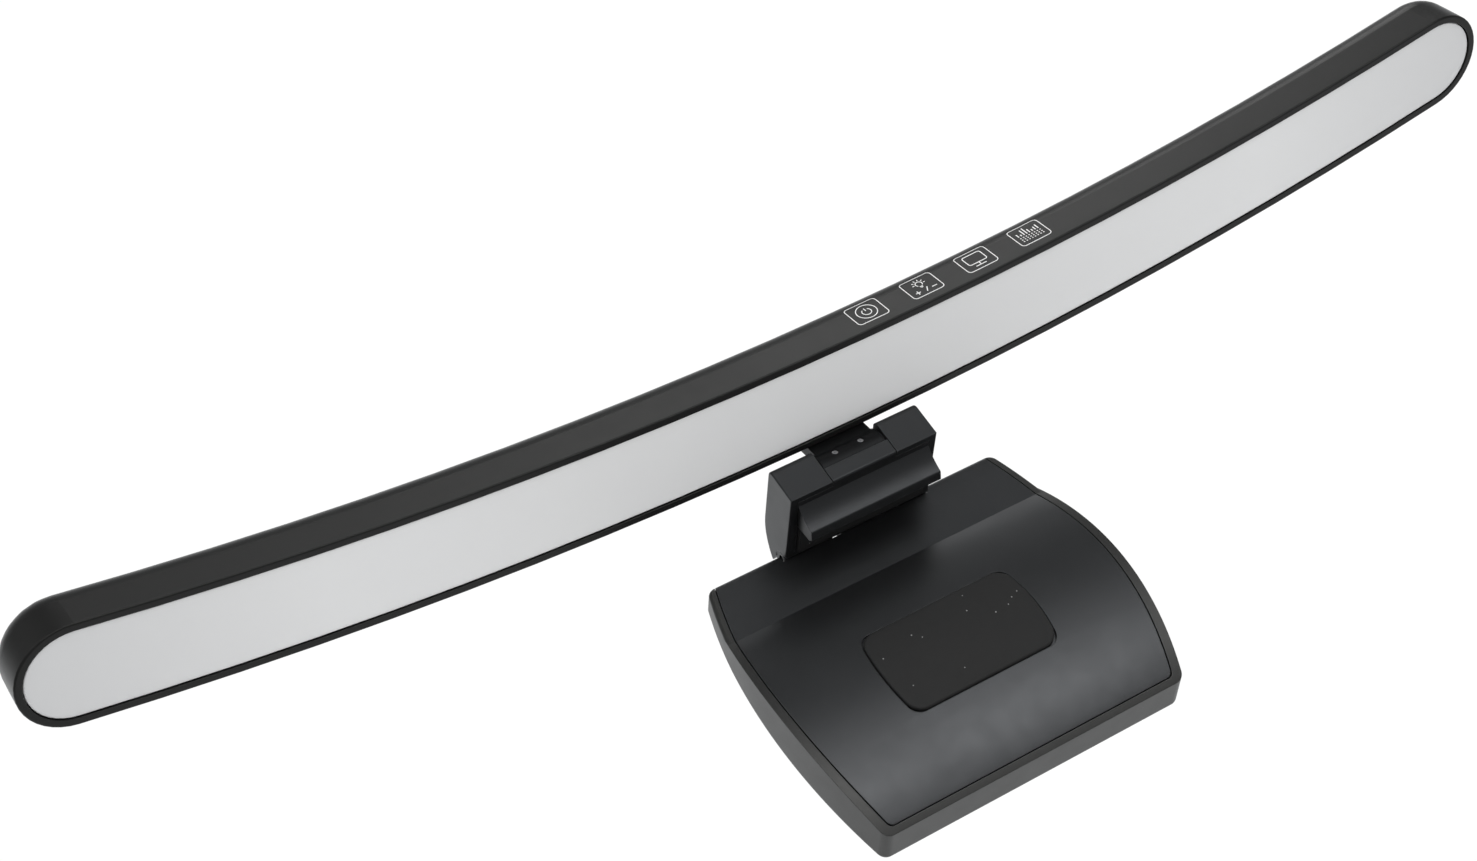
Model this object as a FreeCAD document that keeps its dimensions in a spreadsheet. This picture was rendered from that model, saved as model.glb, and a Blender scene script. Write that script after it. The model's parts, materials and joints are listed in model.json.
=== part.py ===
import FreeCAD, Part
import Sketcher
import math
import os

# Monitor light bar: a curved lamp head on a friction hinge, a hook that sits on a monitor's
# top edge, and a counterweight that swings in behind the screen.
#
# Frame, in millimetres: X to the user's right, Y away from the user, Z up. The origin is at
# mid-width, where the silicone lip pad meets the seat: Y = 0 is the face that touches the
# monitor's front, and Z = 0 is the face that rests on the monitor's top edge.
#
# Lamp head pieces are drawn about the tilt axis and clamp pieces about the origin.
# Counterweight pieces are drawn about the swing axis.

NODES = []
V = FreeCAD.Vector
doc = FreeCAD.newDocument("monitor_light_bar")
dim = doc.addObject("Spreadsheet::Sheet", "dim")

SIZES = {
    # Lamp head
    "bow_radius": 1200.0,        # centreline of the curved bar, about a point in front of it
    "end_centre": 215.3,         # middle to the centre of each round end
    "bar_width": 31.2,
    "bar_height": 17.8,
    "bar_round": 8.0,            # rounding of the top edge
    "bar_draft": 2.5,            # degrees that the outer walls lean in towards the top
    "rim": 2.2,                  # wall seen around the diffuser
    "roof": 3.0,
    "ceiling_round": 5.0,
    "rim_round": 0.5,
    "fit_gap": 0.15,             # gap round every inset panel
    "diffuser_inset": 0.4,
    "diffuser_gap": 0.3,
    "diffuser_thick": 1.8,
    "flange_thick": 1.0,
    "tray_width": 23.6,
    "tray_top": 9.0,
    "tray_wall": 1.0,
    "led_board_width": 12.0,
    "board_thick": 1.2,
    "led_length": 3.5,
    "led_width": 2.8,
    "led_height": 0.7,
    "led_count": 60.0,
    "led_span": 19.4,            # degrees of arc from the first chip to the last
    "key_first": 16.2,           # X of the first touch key
    "key_pitch": 18.3,
    "key_level": 7.4,            # height of the keys above the rim
    "key_count": 4.0,
    "key_size": 8.0,
    "window_from": 2.2,          # degrees of arc from the middle to each rear window
    "window_to": 8.8,
    "window_low": 4.0,
    "window_high": 8.5,
    "port_x": 19.0,
    "port_level": 6.4,
    "port_width": 8.94,
    "port_height": 3.26,
    "port_depth": 7.3,
    "arm_screw_x": 5.5,
    "arm_screw_level": 7.4,
    "arm_screw_grip": 2.7,       # length of each screw inside the neck
    # Tilt hinge
    "tilt_y": -8.0,
    "tilt_z": 8.8,
    "tilt_back": 20.5,           # bar centreline to tilt axis
    "tilt_drop": 5.5,            # tilt axis below the rim
    "rest_tilt": 11.0,
    "barrel_radius": 5.2,
    "barrel_half": 10.0,
    "neck_half": 9.2,
    "neck_thick": 3.6,
    "neck_top": 9.6,             # above the rim
    "tilt_pin_radius": 2.0,
    "running_gap": 0.05,
    "sleeve_radius": 3.4,
    "set_screw_x": 4.2,
    "set_screw_radius": 0.7,
    "set_screw_pocket": 0.95,
    # Clamp block
    "block_half": 24.0,
    "cheek": 2.5,
    "shell": 2.0,
    "underside": 1.2,
    "block_front": -13.0,
    "block_lean": 1.4,
    "block_top": 12.8,
    "block_rear": 12.2,
    "nose_radius": 21.1,
    "nose_start": 5.0,
    "nose_y": 19.2,
    "nose_z": 7.3,
    "slot_half": 10.6,
    "slot_back": -0.9,
    "rib": 4.0,
    "tongue_top": 5.9,
    "floor_thick": 1.8,
    "lip_half": 21.4,
    "lip_root": -9.0,
    "lip_hollow": 18.0,          # radius of the lip's concave front
    "lip_drop": 5.5,             # front edge of the lip below the seat
    "pad_thick": 1.0,
    "seat_depth": 10.0,
    "tongue_gap": 0.25,
    "tongue_round": 0.6,
    "screw_x": 17.5,
    "screw_y": 6.0,
    "screw_post": 2.2,
    "screw_pilot": 0.8,
    "screw_clearance": 1.1,
    "screw_sink": 2.0,
    # Swing hinge
    "swing_y": 14.6,
    "swing_z": 3.6,
    "swing_pin_radius": 1.0,
    "lug_radius": 1.9,
    "notch_radius": 2.1,
    "ear_from": 14.5,            # the clamp's ears, along X
    "ear_to": 23.8,
    "ear_height": 3.0,
    "lug_end": 13.8,
    "lug_slit_from": -7.95,      # slit between the two hinge lugs
    "lug_slit_to": -5.15,
    # Counterweight
    "plate_top": 0.3,            # above the swing axis
    "gap_floor": 2.0,            # cut-out round the hinge, below the swing axis
    "gap_half": 24.6,
    "plate_front": 1.2,          # ahead of the swing axis
    "crease_drop": 18.1,
    "toe_drop": 88.1,
    "toe_back": 3.1,
    "arch_radius": 100.0,
    "heel_drop": 88.4,
    "heel_back": 14.4,
    "waist_drop": 22.4,
    "waist_back": 7.2,
    "hollow_radius": 275.0,
    "shoulder_back": 6.8,
    "plate_half_top": 47.8,
    "plate_half_toe": 48.7,
    "side_radius": 138.0,
    "plate_corner": 3.0,
    "plate_rim": 2.2,
    "cover_top_edge": 1.0,
    "plate_back_edge": 1.5,
    "cover_thick": 1.8,
    "cover_gap": 0.3,
    "back_wall": 1.8,
    "grip_level": 50.5,          # middle of the grip pad below the swing axis
    "grip_length": 27.3,
    "grip_half": 23.4,
    "grip_side_radius": 58.0,
    "grip_corner": 4.0,
    "grip_proud": 0.7,
    "grip_sunk": 0.9,
    "grip_gap": 0.22,
    "slab_width": 86.0,
    "slab_waist": 62.0,
    "slab_length": 48.0,
    "slab_middle": 36.0,
    "slab_thick": 5.0,
    "slab_level": 55.0,          # middle of the steel slab below the swing axis
    "slab_front": 1.1,           # its front face at that level, behind the swing axis
    "slab_lean": 6.2,
    "foam_thick": 0.7,
    "post_x": 38.0,
    "post_high": 27.0,
    "post_low": 80.0,
    "post_radius": 3.2,
    "post_high_face": 3.4,       # where each tray post meets the cover's boss
    "post_low_face": 8.4,
    "post_length": 2.5,
    "post_bore": 1.3,
    "post_sink": 2.4,
    "boss_radius": 2.6,
    "boss_pilot": 1.0,
}


def fill_sheet():
    for row, (name, value) in enumerate(SIZES.items(), start=1):
        dim.set(f"A{row}", name)
        dim.set(f"B{row}", str(value))
        dim.setAlias(f"B{row}", name)
    doc.recompute()


def value(expression):
    """The number an expression over the sheet has now."""
    result = dim.evalExpression(str(expression))
    return float(getattr(result, "Value", result))


# ---------------------------------------------------------------- sketches

def new_body(name):
    return doc.addObject("PartDesign::Body", name)


def new_sketch(body, plane, name, x="0", y="0", lift="0", turn="0"):
    """A sketch on one of the body's own planes, moved in that plane and along its normal."""
    sketch = body.newObject("Sketcher::SketchObject", name)
    support = next(f for f in body.Origin.OriginFeatures if f.Role == plane)
    sketch.AttachmentSupport = [(support, "")]
    sketch.MapMode = "FlatFace"
    offset = V(value(x), value(y), value(lift))
    sketch.AttachmentOffset = FreeCAD.Placement(offset, FreeCAD.Rotation(V(0, 0, 1), value(turn)))
    for axis, expression in (("x", x), ("y", y), ("z", lift)):
        if expression != "0":
            sketch.setExpression(f"AttachmentOffset.Base.{axis}", expression)
    return sketch


def bind(sketch, kind, *target):
    """Add a dimension whose last item is an expression over the sheet."""
    *where, expression = target
    index = sketch.addConstraint(Sketcher.Constraint(kind, *where, value(expression)))
    sketch.setExpression(f"Constraints[{index}]", str(expression))


def place_point(sketch, shape, point, x, y):
    bind(sketch, "DistanceX", -1, 1, shape, point, x)
    bind(sketch, "DistanceY", -1, 1, shape, point, y)


def side_geometry(start, end, bulge):
    """A straight side, or an arc: positive radii bulge to the right of the direction of travel."""
    if not bulge:
        return Part.LineSegment(start, end)
    chord = end - start
    left = V(-chord.y, chord.x, 0).normalize()
    reach = math.sqrt(bulge ** 2 - (chord.Length / 2) ** 2)
    centre = (start + end) * 0.5 + left * math.copysign(reach, bulge)
    first, last = (start, end) if bulge > 0 else (end, start)
    angles = [math.atan2(p.y - centre.y, p.x - centre.x) for p in (first, last)]
    if angles[1] < angles[0]:
        angles[1] += 2 * math.pi
    return Part.ArcOfCircle(Part.Circle(centre, V(0, 0, 1), abs(bulge)), *angles)


def outline(sketch, corners):
    """Close a loop, counterclockwise, through corners given as (x, y) or (x, y, side radius)."""
    points = [V(value(c[0]), value(c[1]), 0) for c in corners]
    bulges = [c[2] if len(c) > 2 else None for c in corners]
    ends = []
    for i, start in enumerate(points):
        radius = value(bulges[i]) if bulges[i] else None
        shape = sketch.addGeometry(side_geometry(start, points[(i + 1) % len(points)], radius))
        ends.append((shape, 2, 1) if radius and radius < 0 else (shape, 1, 2))
    for i, (shape, start, end) in enumerate(ends):
        following = ends[(i + 1) % len(ends)]
        sketch.addConstraint(Sketcher.Constraint("Coincident", shape, end, following[0], following[1]))
        place_point(sketch, shape, start, corners[i][0], corners[i][1])
        if bulges[i]:
            bind(sketch, "Radius", shape, f"abs({bulges[i]})")


def rectangle(sketch, x_low, x_high, y_low, y_high):
    outline(sketch, [(x_low, y_low), (x_high, y_low), (x_high, y_high), (x_low, y_high)])


def circle(sketch, x, y, radius):
    shape = sketch.addGeometry(Part.Circle(V(value(x), value(y), 0), V(0, 0, 1), value(radius)))
    place_point(sketch, shape, 3, x, y)
    bind(sketch, "Radius", shape, radius)


def curved_slot(sketch, width):
    """A round-ended slot bent along the bar's centreline."""
    bow, reach = value("dim.bow_radius"), value("dim.end_centre")
    half = value(width) / 2
    lean = math.asin(reach / bow)
    middle = V(0, -bow, 0)
    up = math.pi / 2

    def arc(centre, radius, start, end):
        return sketch.addGeometry(Part.ArcOfCircle(Part.Circle(centre, V(0, 0, 1), radius), start, end))

    drop = bow * (math.cos(lean) - 1)
    outer = arc(middle, bow + half, up - lean, up + lean)
    left = arc(V(-reach, drop, 0), half, up + lean, up + lean + math.pi)
    inner = arc(middle, bow - half, up - lean, up + lean)
    right = arc(V(reach, drop, 0), half, -up - lean, up - lean)
    joints = ((outer, 2, left, 1), (left, 2, inner, 2), (inner, 1, right, 1), (right, 2, outer, 1))
    for joint in joints:
        sketch.addConstraint(Sketcher.Constraint("Tangent", *joint))
    sketch.addConstraint(Sketcher.Constraint("Coincident", outer, 3, inner, 3))
    place_point(sketch, outer, 3, "0", "-dim.bow_radius")
    bind(sketch, "Radius", outer, f"dim.bow_radius + ({width}) / 2")
    bind(sketch, "Radius", inner, f"dim.bow_radius - ({width}) / 2")
    bind(sketch, "DistanceX", -1, 1, left, 3, "-dim.end_centre")
    bind(sketch, "DistanceX", -1, 1, right, 3, "dim.end_centre")


def bow_band(sketch, front, back, from_angle, to_angle):
    """A stretch of the bar's bend between two depths behind its centreline, about the bend centre."""
    def corner(depth, angle):
        reach = f"(dim.bow_radius + ({depth}))"
        return f"{reach} * sin(({angle}) * 1deg)", f"{reach} * cos(({angle}) * 1deg)"

    near, far = f"dim.bow_radius + ({front})", f"dim.bow_radius + ({back})"
    outline(sketch, [
        (*corner(front, from_angle), f"-({near})"),
        corner(front, to_angle),
        (*corner(back, to_angle), far),
        corner(back, from_angle),
    ])


# ---------------------------------------------------------------- features

def finish_feature(body, feature):
    body.Tip = feature
    doc.recompute()
    return feature


def volume(body):
    return body.Shape.Volume if not body.Shape.isNull() else 0.0


def pad(body, sketch, length, symmetric=False, reversed_side=False, taper=None):
    before = volume(body)
    feature = body.newObject("PartDesign::Pad", sketch.Name + "_pad")
    feature.Profile = sketch
    feature.SideType = "Symmetric" if symmetric else "One side"
    feature.Reversed = reversed_side
    feature.setExpression("Length", length)
    if taper:
        feature.setExpression("TaperAngle", taper)
    finish_feature(body, feature)
    assert volume(body) > before, sketch.Name + " added nothing"
    return feature


def pocket(body, sketch, length, symmetric=False, reversed_side=False):
    before = volume(body)
    feature = body.newObject("PartDesign::Pocket", sketch.Name + "_pocket")
    feature.Profile = sketch
    feature.SideType = "Symmetric" if symmetric else "One side"
    feature.Reversed = reversed_side
    feature.setExpression("Length", length)
    finish_feature(body, feature)
    assert volume(body) < before, sketch.Name + " cut nothing"
    return feature


def mirror(body, features):
    """Repeat features on the other side of the mid plane."""
    feature = body.newObject("PartDesign::Mirrored", body.Name + "_mirror_" + features[0].Name)
    feature.Originals = features
    plane = next(f for f in body.Origin.OriginFeatures if f.Role == "YZ_Plane")
    feature.MirrorPlane = (plane, [""])
    return finish_feature(body, feature)


def round_edges(body, radius, test, name):
    """Fillet the edges whose middle passes the test."""
    base = body.Tip
    chosen = []
    for index, edge in enumerate(base.Shape.Edges, start=1):
        middle = edge.valueAt((edge.FirstParameter + edge.LastParameter) / 2)
        if test(middle, edge):
            chosen.append(f"Edge{index}")
    assert chosen, name + " found no edges"
    feature = body.newObject("PartDesign::Fillet", name)
    feature.Base = (base, chosen)
    feature.setExpression("Radius", radius)
    finish_feature(body, feature)
    assert "Invalid" not in feature.State, name + " failed"
    return feature


def near(a, b, tolerance=0.02):
    return abs(a - b) < tolerance


def keep(label, shape_object, base=("0", "0", "0"), tilt="0"):
    """Name a finished piece as a node and put it in place."""
    shape_object.Label = label
    placement = FreeCAD.Placement(V(*(value(c) for c in base)), FreeCAD.Rotation(V(1, 0, 0), value(tilt)))
    shape_object.Placement = placement
    for axis, expression in zip("xyz", base):
        if expression != "0":
            shape_object.setExpression(f"Placement.Base.{axis}", expression)
    if tilt != "0":
        shape_object.setExpression("Placement.Rotation.Angle", tilt)
    NODES.append(shape_object)
    return shape_object


def keep_in_head(label, shape_object):
    return keep(label, shape_object, ("0", "dim.tilt_y", "dim.tilt_z"), "-dim.rest_tilt")


def keep_in_clamp(label, shape_object):
    return keep(label, shape_object)


def keep_in_counterweight(label, shape_object):
    return keep(label, shape_object, ("0", "dim.swing_y", "dim.swing_z"))


def rod(name, radius, x_low, x_high, y="0", z="0"):
    """A round bar along X, as a Part cylinder."""
    bar = doc.addObject("Part::Cylinder", name)
    bar.setExpression("Radius", radius)
    bar.setExpression("Height", f"({x_high}) - ({x_low})")
    bar.Placement = FreeCAD.Placement(V(value(x_low), value(y), value(z)), FreeCAD.Rotation(V(0, 1, 0), 90))
    for axis, expression in (("x", x_low), ("y", y), ("z", z)):
        bar.setExpression(f"Placement.Base.{axis}", str(expression))
    return bar


def group(name, pieces):
    compound = doc.addObject("Part::Compound", name)
    compound.Links = pieces
    return compound


def cut(name, base, tool):
    result = doc.addObject("Part::Cut", name)
    result.Base = base
    result.Tool = tool
    doc.recompute()
    return result


# ---------------------------------------------------------------- lamp head

BAR_AXIS_Y = "-dim.tilt_back"


def bar_level(lift):
    return f"dim.tilt_drop + {lift}"


def bar_sketch(body, name, lift):
    """A sketch level with the bar, centred on its middle, at a height above the rim."""
    return new_sketch(body, "XY_Plane", name, y=BAR_AXIS_Y, lift=bar_level(lift))


def bend_sketch(body, name, lift):
    """A sketch level with the bar, centred on the centre of its bend."""
    return new_sketch(body, "XY_Plane", name, y=f"{BAR_AXIS_Y} - dim.bow_radius", lift=bar_level(lift))


def slot_pad(body, name, width, lift, height, taper=None):
    sketch = bar_sketch(body, name, lift)
    curved_slot(sketch, width)
    return pad(body, sketch, height, taper=taper)


def slot_pocket(body, name, width, lift, height):
    sketch = bar_sketch(body, name, lift)
    curved_slot(sketch, width)
    return pocket(body, sketch, height, reversed_side=True)


REAR_WALL = "dim.bar_width / 2"
REAR_FACE_Y = "(dim.bar_width / 2 - dim.tilt_back)"
CAVITY_WIDTH = "dim.bar_width - 2 * dim.rim"
MICROPHONE_X = "dim.port_x + 12"


def make_bar_housing():
    body = new_body("bar_housing_body")
    slot_pad(body, "bar_outline", "dim.bar_width", "0", "dim.bar_height", taper="-dim.bar_draft")
    top = value("dim.tilt_drop + dim.bar_height")
    rim = value("dim.tilt_drop")
    round_edges(body, "dim.bar_round", lambda p, e: near(p.z, top), "bar_top_round")
    round_edges(body, "dim.rim_round", lambda p, e: near(p.z, rim), "bar_rim_round")
    slot_pocket(body, "bar_cavity", CAVITY_WIDTH, "0", "dim.bar_height - dim.roof")
    ceiling = value("dim.tilt_drop + dim.bar_height - dim.roof")
    round_edges(body, "dim.ceiling_round", lambda p, e: near(p.z, ceiling), "bar_ceiling_round")
    windows = bend_sketch(body, "window_cut", "dim.window_low")
    inside, outside = "dim.bar_width / 2 - dim.rim - 0.5", "dim.bar_width / 2 + 0.5"
    bow_band(windows, inside, outside, "dim.window_from", "dim.window_to")
    pocket(body, windows, "dim.window_high - dim.window_low", reversed_side=True)
    mirror(body, [body.Tip])
    cut_rear_wall_holes(body)
    return keep_in_head("bar_housing", body)


def cut_rear_wall_holes(body):
    """The cable port, the arm's screw holes and the microphone's pinhole, all from behind."""
    holes = new_sketch(body, "XZ_Plane", "rear_holes", lift=f"-{REAR_FACE_Y} - 1")
    level = bar_level("dim.port_level")
    gap = "dim.fit_gap"
    half_width, half_height = "dim.port_width / 2", "dim.port_height / 2"
    rectangle(holes, f"dim.port_x - {half_width} - {gap}", f"dim.port_x + {half_width} + {gap}",
              f"{level} - {half_height} - {gap}", f"{level} + {half_height} + {gap}")
    for side in ("-", ""):
        circle(holes, f"{side}dim.arm_screw_x", bar_level("dim.arm_screw_level"), "1.3")
    circle(holes, MICROPHONE_X, level, "0.5")
    pocket(body, holes, "dim.rim + 3", reversed_side=True)


def make_front_diffuser():
    body = new_body("front_diffuser_body")
    width = f"{CAVITY_WIDTH} - 2 * dim.diffuser_gap"
    slot_pad(body, "diffuser_outline", width, "dim.diffuser_inset", "dim.diffuser_thick")
    face = value("dim.tilt_drop + dim.diffuser_inset")
    round_edges(body, "0.3", lambda p, e: near(p.z, face), "diffuser_edge_round")
    return keep_in_head("front_diffuser", body)


FLANGE_LEVEL = "dim.diffuser_inset + dim.diffuser_thick + 0.02"


def make_reflector_tray():
    """A white tray whose flange carries the diffuser and whose floor carries the LED board."""
    body = new_body("reflector_tray_body")
    slot_pad(body, "flange_outline", f"{CAVITY_WIDTH} - 0.2", FLANGE_LEVEL, "dim.flange_thick")
    slot_pad(body, "tray_outline", "dim.tray_width", FLANGE_LEVEL, f"dim.tray_top - ({FLANGE_LEVEL})")
    inner_top = f"dim.tray_top - dim.tray_wall - ({FLANGE_LEVEL})"
    slot_pocket(body, "tray_hollow", "dim.tray_width - 2 * dim.tray_wall", FLANGE_LEVEL, inner_top)
    jog_round_port(body)
    return keep_in_head("reflector_tray", body)


def jog_round_port(body):
    """The tray's rear wall steps in to clear the cable socket."""
    level = f"{FLANGE_LEVEL} + dim.flange_thick"
    tall = f"dim.tray_top - ({level})"
    depth = "dim.port_depth + 0.7"
    back = "dim.tray_width / 2"
    wall = bar_sketch(body, "port_jog", level)
    reach = f"{REAR_WALL} - ({depth})"
    half = "dim.port_width / 2 + 0.7"
    rectangle(wall, f"dim.port_x - ({half}) - 1", f"dim.port_x + {half} + 1",
              f"{reach} - 1", f"{back} - 0.5")
    pad(body, wall, tall)
    space = bar_sketch(body, "port_space", level)
    rectangle(space, f"dim.port_x - ({half})", f"dim.port_x + {half}", reach, f"{back} + 1")
    pocket(body, space, tall, reversed_side=True)


BOARD_LEVEL = "dim.tray_top - dim.tray_wall - dim.board_thick - 0.02"
CHIP_LEVEL = f"{BOARD_LEVEL} - dim.led_height"


def make_led_board():
    body = new_body("led_board_body")
    slot_pad(body, "led_board_outline", "dim.led_board_width", BOARD_LEVEL, "dim.board_thick")
    return keep_in_head("led_board", body)


def arc_of_blocks(name, depth, length, width, lift, height, count, span, start):
    """Equal blocks spaced along the bar's bend, from a start angle (degrees, toward the left)."""
    body = new_body(name)
    body.AllowCompound = True
    sketch = new_sketch(body, "XY_Plane", name + "_block", y=f"{BAR_AXIS_Y} - dim.bow_radius",
                        lift=bar_level(lift), turn=start)
    sketch.setExpression("AttachmentOffset.Rotation.Angle", start)
    reach = f"dim.bow_radius + ({depth})"
    rectangle(sketch, f"-({length}) / 2", f"({length}) / 2",
              f"{reach} - ({width}) / 2", f"{reach} + ({width}) / 2")
    block = pad(body, sketch, height)
    row = body.newObject("PartDesign::PolarPattern", name + "_row")
    row.Originals = [block]
    row.Axis = (sketch, ["N_Axis"])
    row.setExpression("Angle", span)
    row.Occurrences = int(value(count))
    finish_feature(body, row)
    assert len(body.Shape.Solids) == int(value(count)), name + " lost blocks"
    return body


def make_led_chips():
    chips = arc_of_blocks("led_chips_body", "0", "dim.led_length", "dim.led_width", CHIP_LEVEL,
                          "dim.led_height", "dim.led_count", "dim.led_span", "-dim.led_span / 2")
    return keep_in_head("led_chips", chips)


KEY_MIDDLE = "dim.key_first + dim.key_pitch * (dim.key_count - 1) / 2"
TOUCH_BOARD_DEPTH = "dim.rim - dim.bar_width / 2 + 0.3"


def x_angle(x):
    """Degrees round the bend, from the middle to a point this far along X."""
    return f"asin(({x}) / dim.bow_radius) / 1deg"


def make_touch_board():
    """A narrow circuit board on edge behind the front wall, under the touch keys."""
    body = new_body("touch_board_body")
    sketch = bend_sketch(body, "touch_board_outline", "dim.key_level - 3.7")
    reach = "dim.key_pitch * dim.key_count / 2 + 2"
    bow_band(sketch, TOUCH_BOARD_DEPTH, f"{TOUCH_BOARD_DEPTH} + 0.8",
             x_angle(f"{KEY_MIDDLE} - {reach}"), x_angle(f"{KEY_MIDDLE} + {reach}"))
    pad(body, sketch, "dim.key_size - 1")
    return keep_in_head("touch_board", body)


def make_touch_electrodes():
    span = "dim.key_pitch * (dim.key_count - 1) / dim.bow_radius * 180 / 3.14159265"
    start = "-(dim.key_first + dim.key_pitch * (dim.key_count - 1)) / dim.bow_radius * 180 / 3.14159265"
    pads = arc_of_blocks("touch_electrodes_body", f"{TOUCH_BOARD_DEPTH} - 0.12", "dim.key_size", "0.2",
                         "dim.key_level - 3.2", "dim.key_size - 2", "dim.key_count", span, start)
    return keep_in_head("touch_electrodes", pads)


def make_control_board():
    """The controller sits under the roof, above the reflector tray."""
    body = new_body("control_board_body")
    level = "dim.tray_top + 1.6"
    board = bar_sketch(body, "control_board_outline", level)
    rectangle(board, "-30", "40", "-8.5", "8.5")
    pad(body, board, "dim.board_thick")
    parts_sketch = bar_sketch(body, "control_board_parts", level)
    rectangle(parts_sketch, "-3", "4", "-3.5", "3.5")
    rectangle(parts_sketch, "-20", "-14", "-5", "1")
    rectangle(parts_sketch, "12", "15", "-4", "1")
    pad(body, parts_sketch, "1.1", reversed_side=True)
    return keep_in_head("control_board", body)


def make_microphone():
    body = new_body("microphone_body")
    sketch = new_sketch(body, "XZ_Plane", "microphone_outline",
                        lift=f"-({REAR_FACE_Y} - dim.rim - 0.5)")
    level = bar_level("dim.port_level")
    rectangle(sketch, f"{MICROPHONE_X} - 1.8", f"{MICROPHONE_X} + 1.8", f"{level} - 1.3", f"{level} + 1.3")
    pad(body, sketch, "1")
    return keep_in_head("microphone", body)


def make_usb_c_socket():
    """A round-cornered metal shell, open to the rear, with its contact tongue inside."""
    body = new_body("usb_c_socket_body")
    level = bar_level("dim.port_level")

    def port_sketch(name, inset, lift):
        sketch = new_sketch(body, "XZ_Plane", name, lift=lift)
        flat = "(dim.port_width - dim.port_height) / 2"
        round_radius = f"dim.port_height / 2 - {inset}"
        low, high = f"{level} - ({round_radius})", f"{level} + ({round_radius})"
        left, right = f"dim.port_x - {flat}", f"dim.port_x + {flat}"
        bulge = f"({round_radius}) * 1.0001"
        outline(sketch, [(left, low), (right, low, bulge), (right, high), (left, high, bulge)])
        return sketch

    face = f"-({REAR_FACE_Y} - 0.5)"
    pad(body, port_sketch("port_shell", "0", face), "dim.port_depth")
    pocket(body, port_sketch("port_mouth", "0.35", face), "dim.port_depth - 1", reversed_side=True)
    tongue = new_sketch(body, "XZ_Plane", "port_tongue", lift=f"{face} + dim.port_depth")
    rectangle(tongue, "dim.port_x - 3.3", "dim.port_x + 3.3", f"{level} - 0.35", f"{level} + 0.35")
    pad(body, tongue, "dim.port_depth - 1.6", reversed_side=True)
    return keep_in_head("usb_c_socket", body)


def make_ambient_diffusers():
    body = new_body("ambient_diffusers_body")
    body.AllowCompound = True
    level = "dim.window_low + dim.fit_gap"
    sketch = bend_sketch(body, "ambient_window", level)
    trim = "0.01"
    bow_band(sketch, f"{REAR_WALL} - 1.7", f"{REAR_WALL} - 0.45",
             f"dim.window_from + {trim}", f"dim.window_to - {trim}")
    window = pad(body, sketch, "dim.window_high - dim.window_low - 2 * dim.fit_gap")
    mirror(body, [window])
    return keep_in_head("ambient_diffusers", body)


def make_ambient_boards():
    body = new_body("ambient_boards_body")
    body.AllowCompound = True
    sketch = bend_sketch(body, "ambient_board", "dim.window_low - 0.4")
    bow_band(sketch, f"{REAR_WALL} - 3.5", f"{REAR_WALL} - 2.7", "dim.window_from", "dim.window_to")
    board = pad(body, sketch, "dim.window_high - dim.window_low + 0.8")
    mirror(body, [board])
    return keep_in_head("ambient_boards", body)


def make_ambient_leds():
    """Fourteen colour chips behind each rear window."""
    count = "14"
    span = "dim.window_to - dim.window_from - 0.4"
    row = arc_of_blocks("ambient_leds_body", f"{REAR_WALL} - 2.3", "3.2", "0.7", "dim.window_low + 0.6",
                        "3.2", count, span, "-dim.window_to + 0.2")
    twin = row.newObject("PartDesign::Mirrored", "ambient_leds_left")
    twin.TransformMode = "Whole shape"
    plane = next(f for f in row.Origin.OriginFeatures if f.Role == "YZ_Plane")
    twin.MirrorPlane = (plane, [""])
    finish_feature(row, twin)
    assert len(row.Shape.Solids) == 28, "a row of ambient chips is missing"
    return keep_in_head("ambient_leds", row)


def make_tilt_arm():
    """A barrel on the tilt pin with a neck that stands against the bar's rear wall."""
    body = new_body("tilt_arm_body")
    barrel = new_sketch(body, "YZ_Plane", "barrel_round")
    circle(barrel, "0", "0", "dim.barrel_radius")
    pad(body, barrel, "2 * dim.barrel_half", symmetric=True)
    neck = new_sketch(body, "YZ_Plane", "neck_side")
    back, top = f"{REAR_FACE_Y} + dim.neck_thick", bar_level("dim.neck_top")
    outline(neck, [
        (REAR_FACE_Y, "0"),
        (back, "0"),
        (back, f"{top} - 1"),
        (f"{back} - 1", top),
        (REAR_FACE_Y, top),
    ])
    pad(body, neck, "2 * dim.neck_half", symmetric=True)
    bore = new_sketch(body, "YZ_Plane", "barrel_bore")
    circle(bore, "0", "0", "dim.sleeve_radius")
    pocket(body, bore, "2 * dim.barrel_half + 2", symmetric=True)
    drill_pair(body, "arm_screw_holes", "dim.arm_screw_x", bar_level("dim.arm_screw_level"),
               "dim.boss_pilot", f"{REAR_FACE_Y} - 1", "dim.arm_screw_grip + 1.2")
    front = "-dim.barrel_radius - 1"
    drill_pair(body, "set_screw_holes", "dim.set_screw_x", "0", "dim.set_screw_radius", front, "4")
    drill_pair(body, "set_screw_pockets", "dim.set_screw_x", "0", "dim.set_screw_pocket", front, "2.2")
    return keep_in_head("tilt_arm", body)


def drill_pair(body, name, x, z, radius, from_y, depth):
    """Two holes toward the rear, one each side of the middle."""
    holes = new_sketch(body, "XZ_Plane", name, lift=f"-({from_y})")
    for side in ("-", ""):
        circle(holes, f"{side}{x}", z, radius)
    pocket(body, holes, depth)


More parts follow.
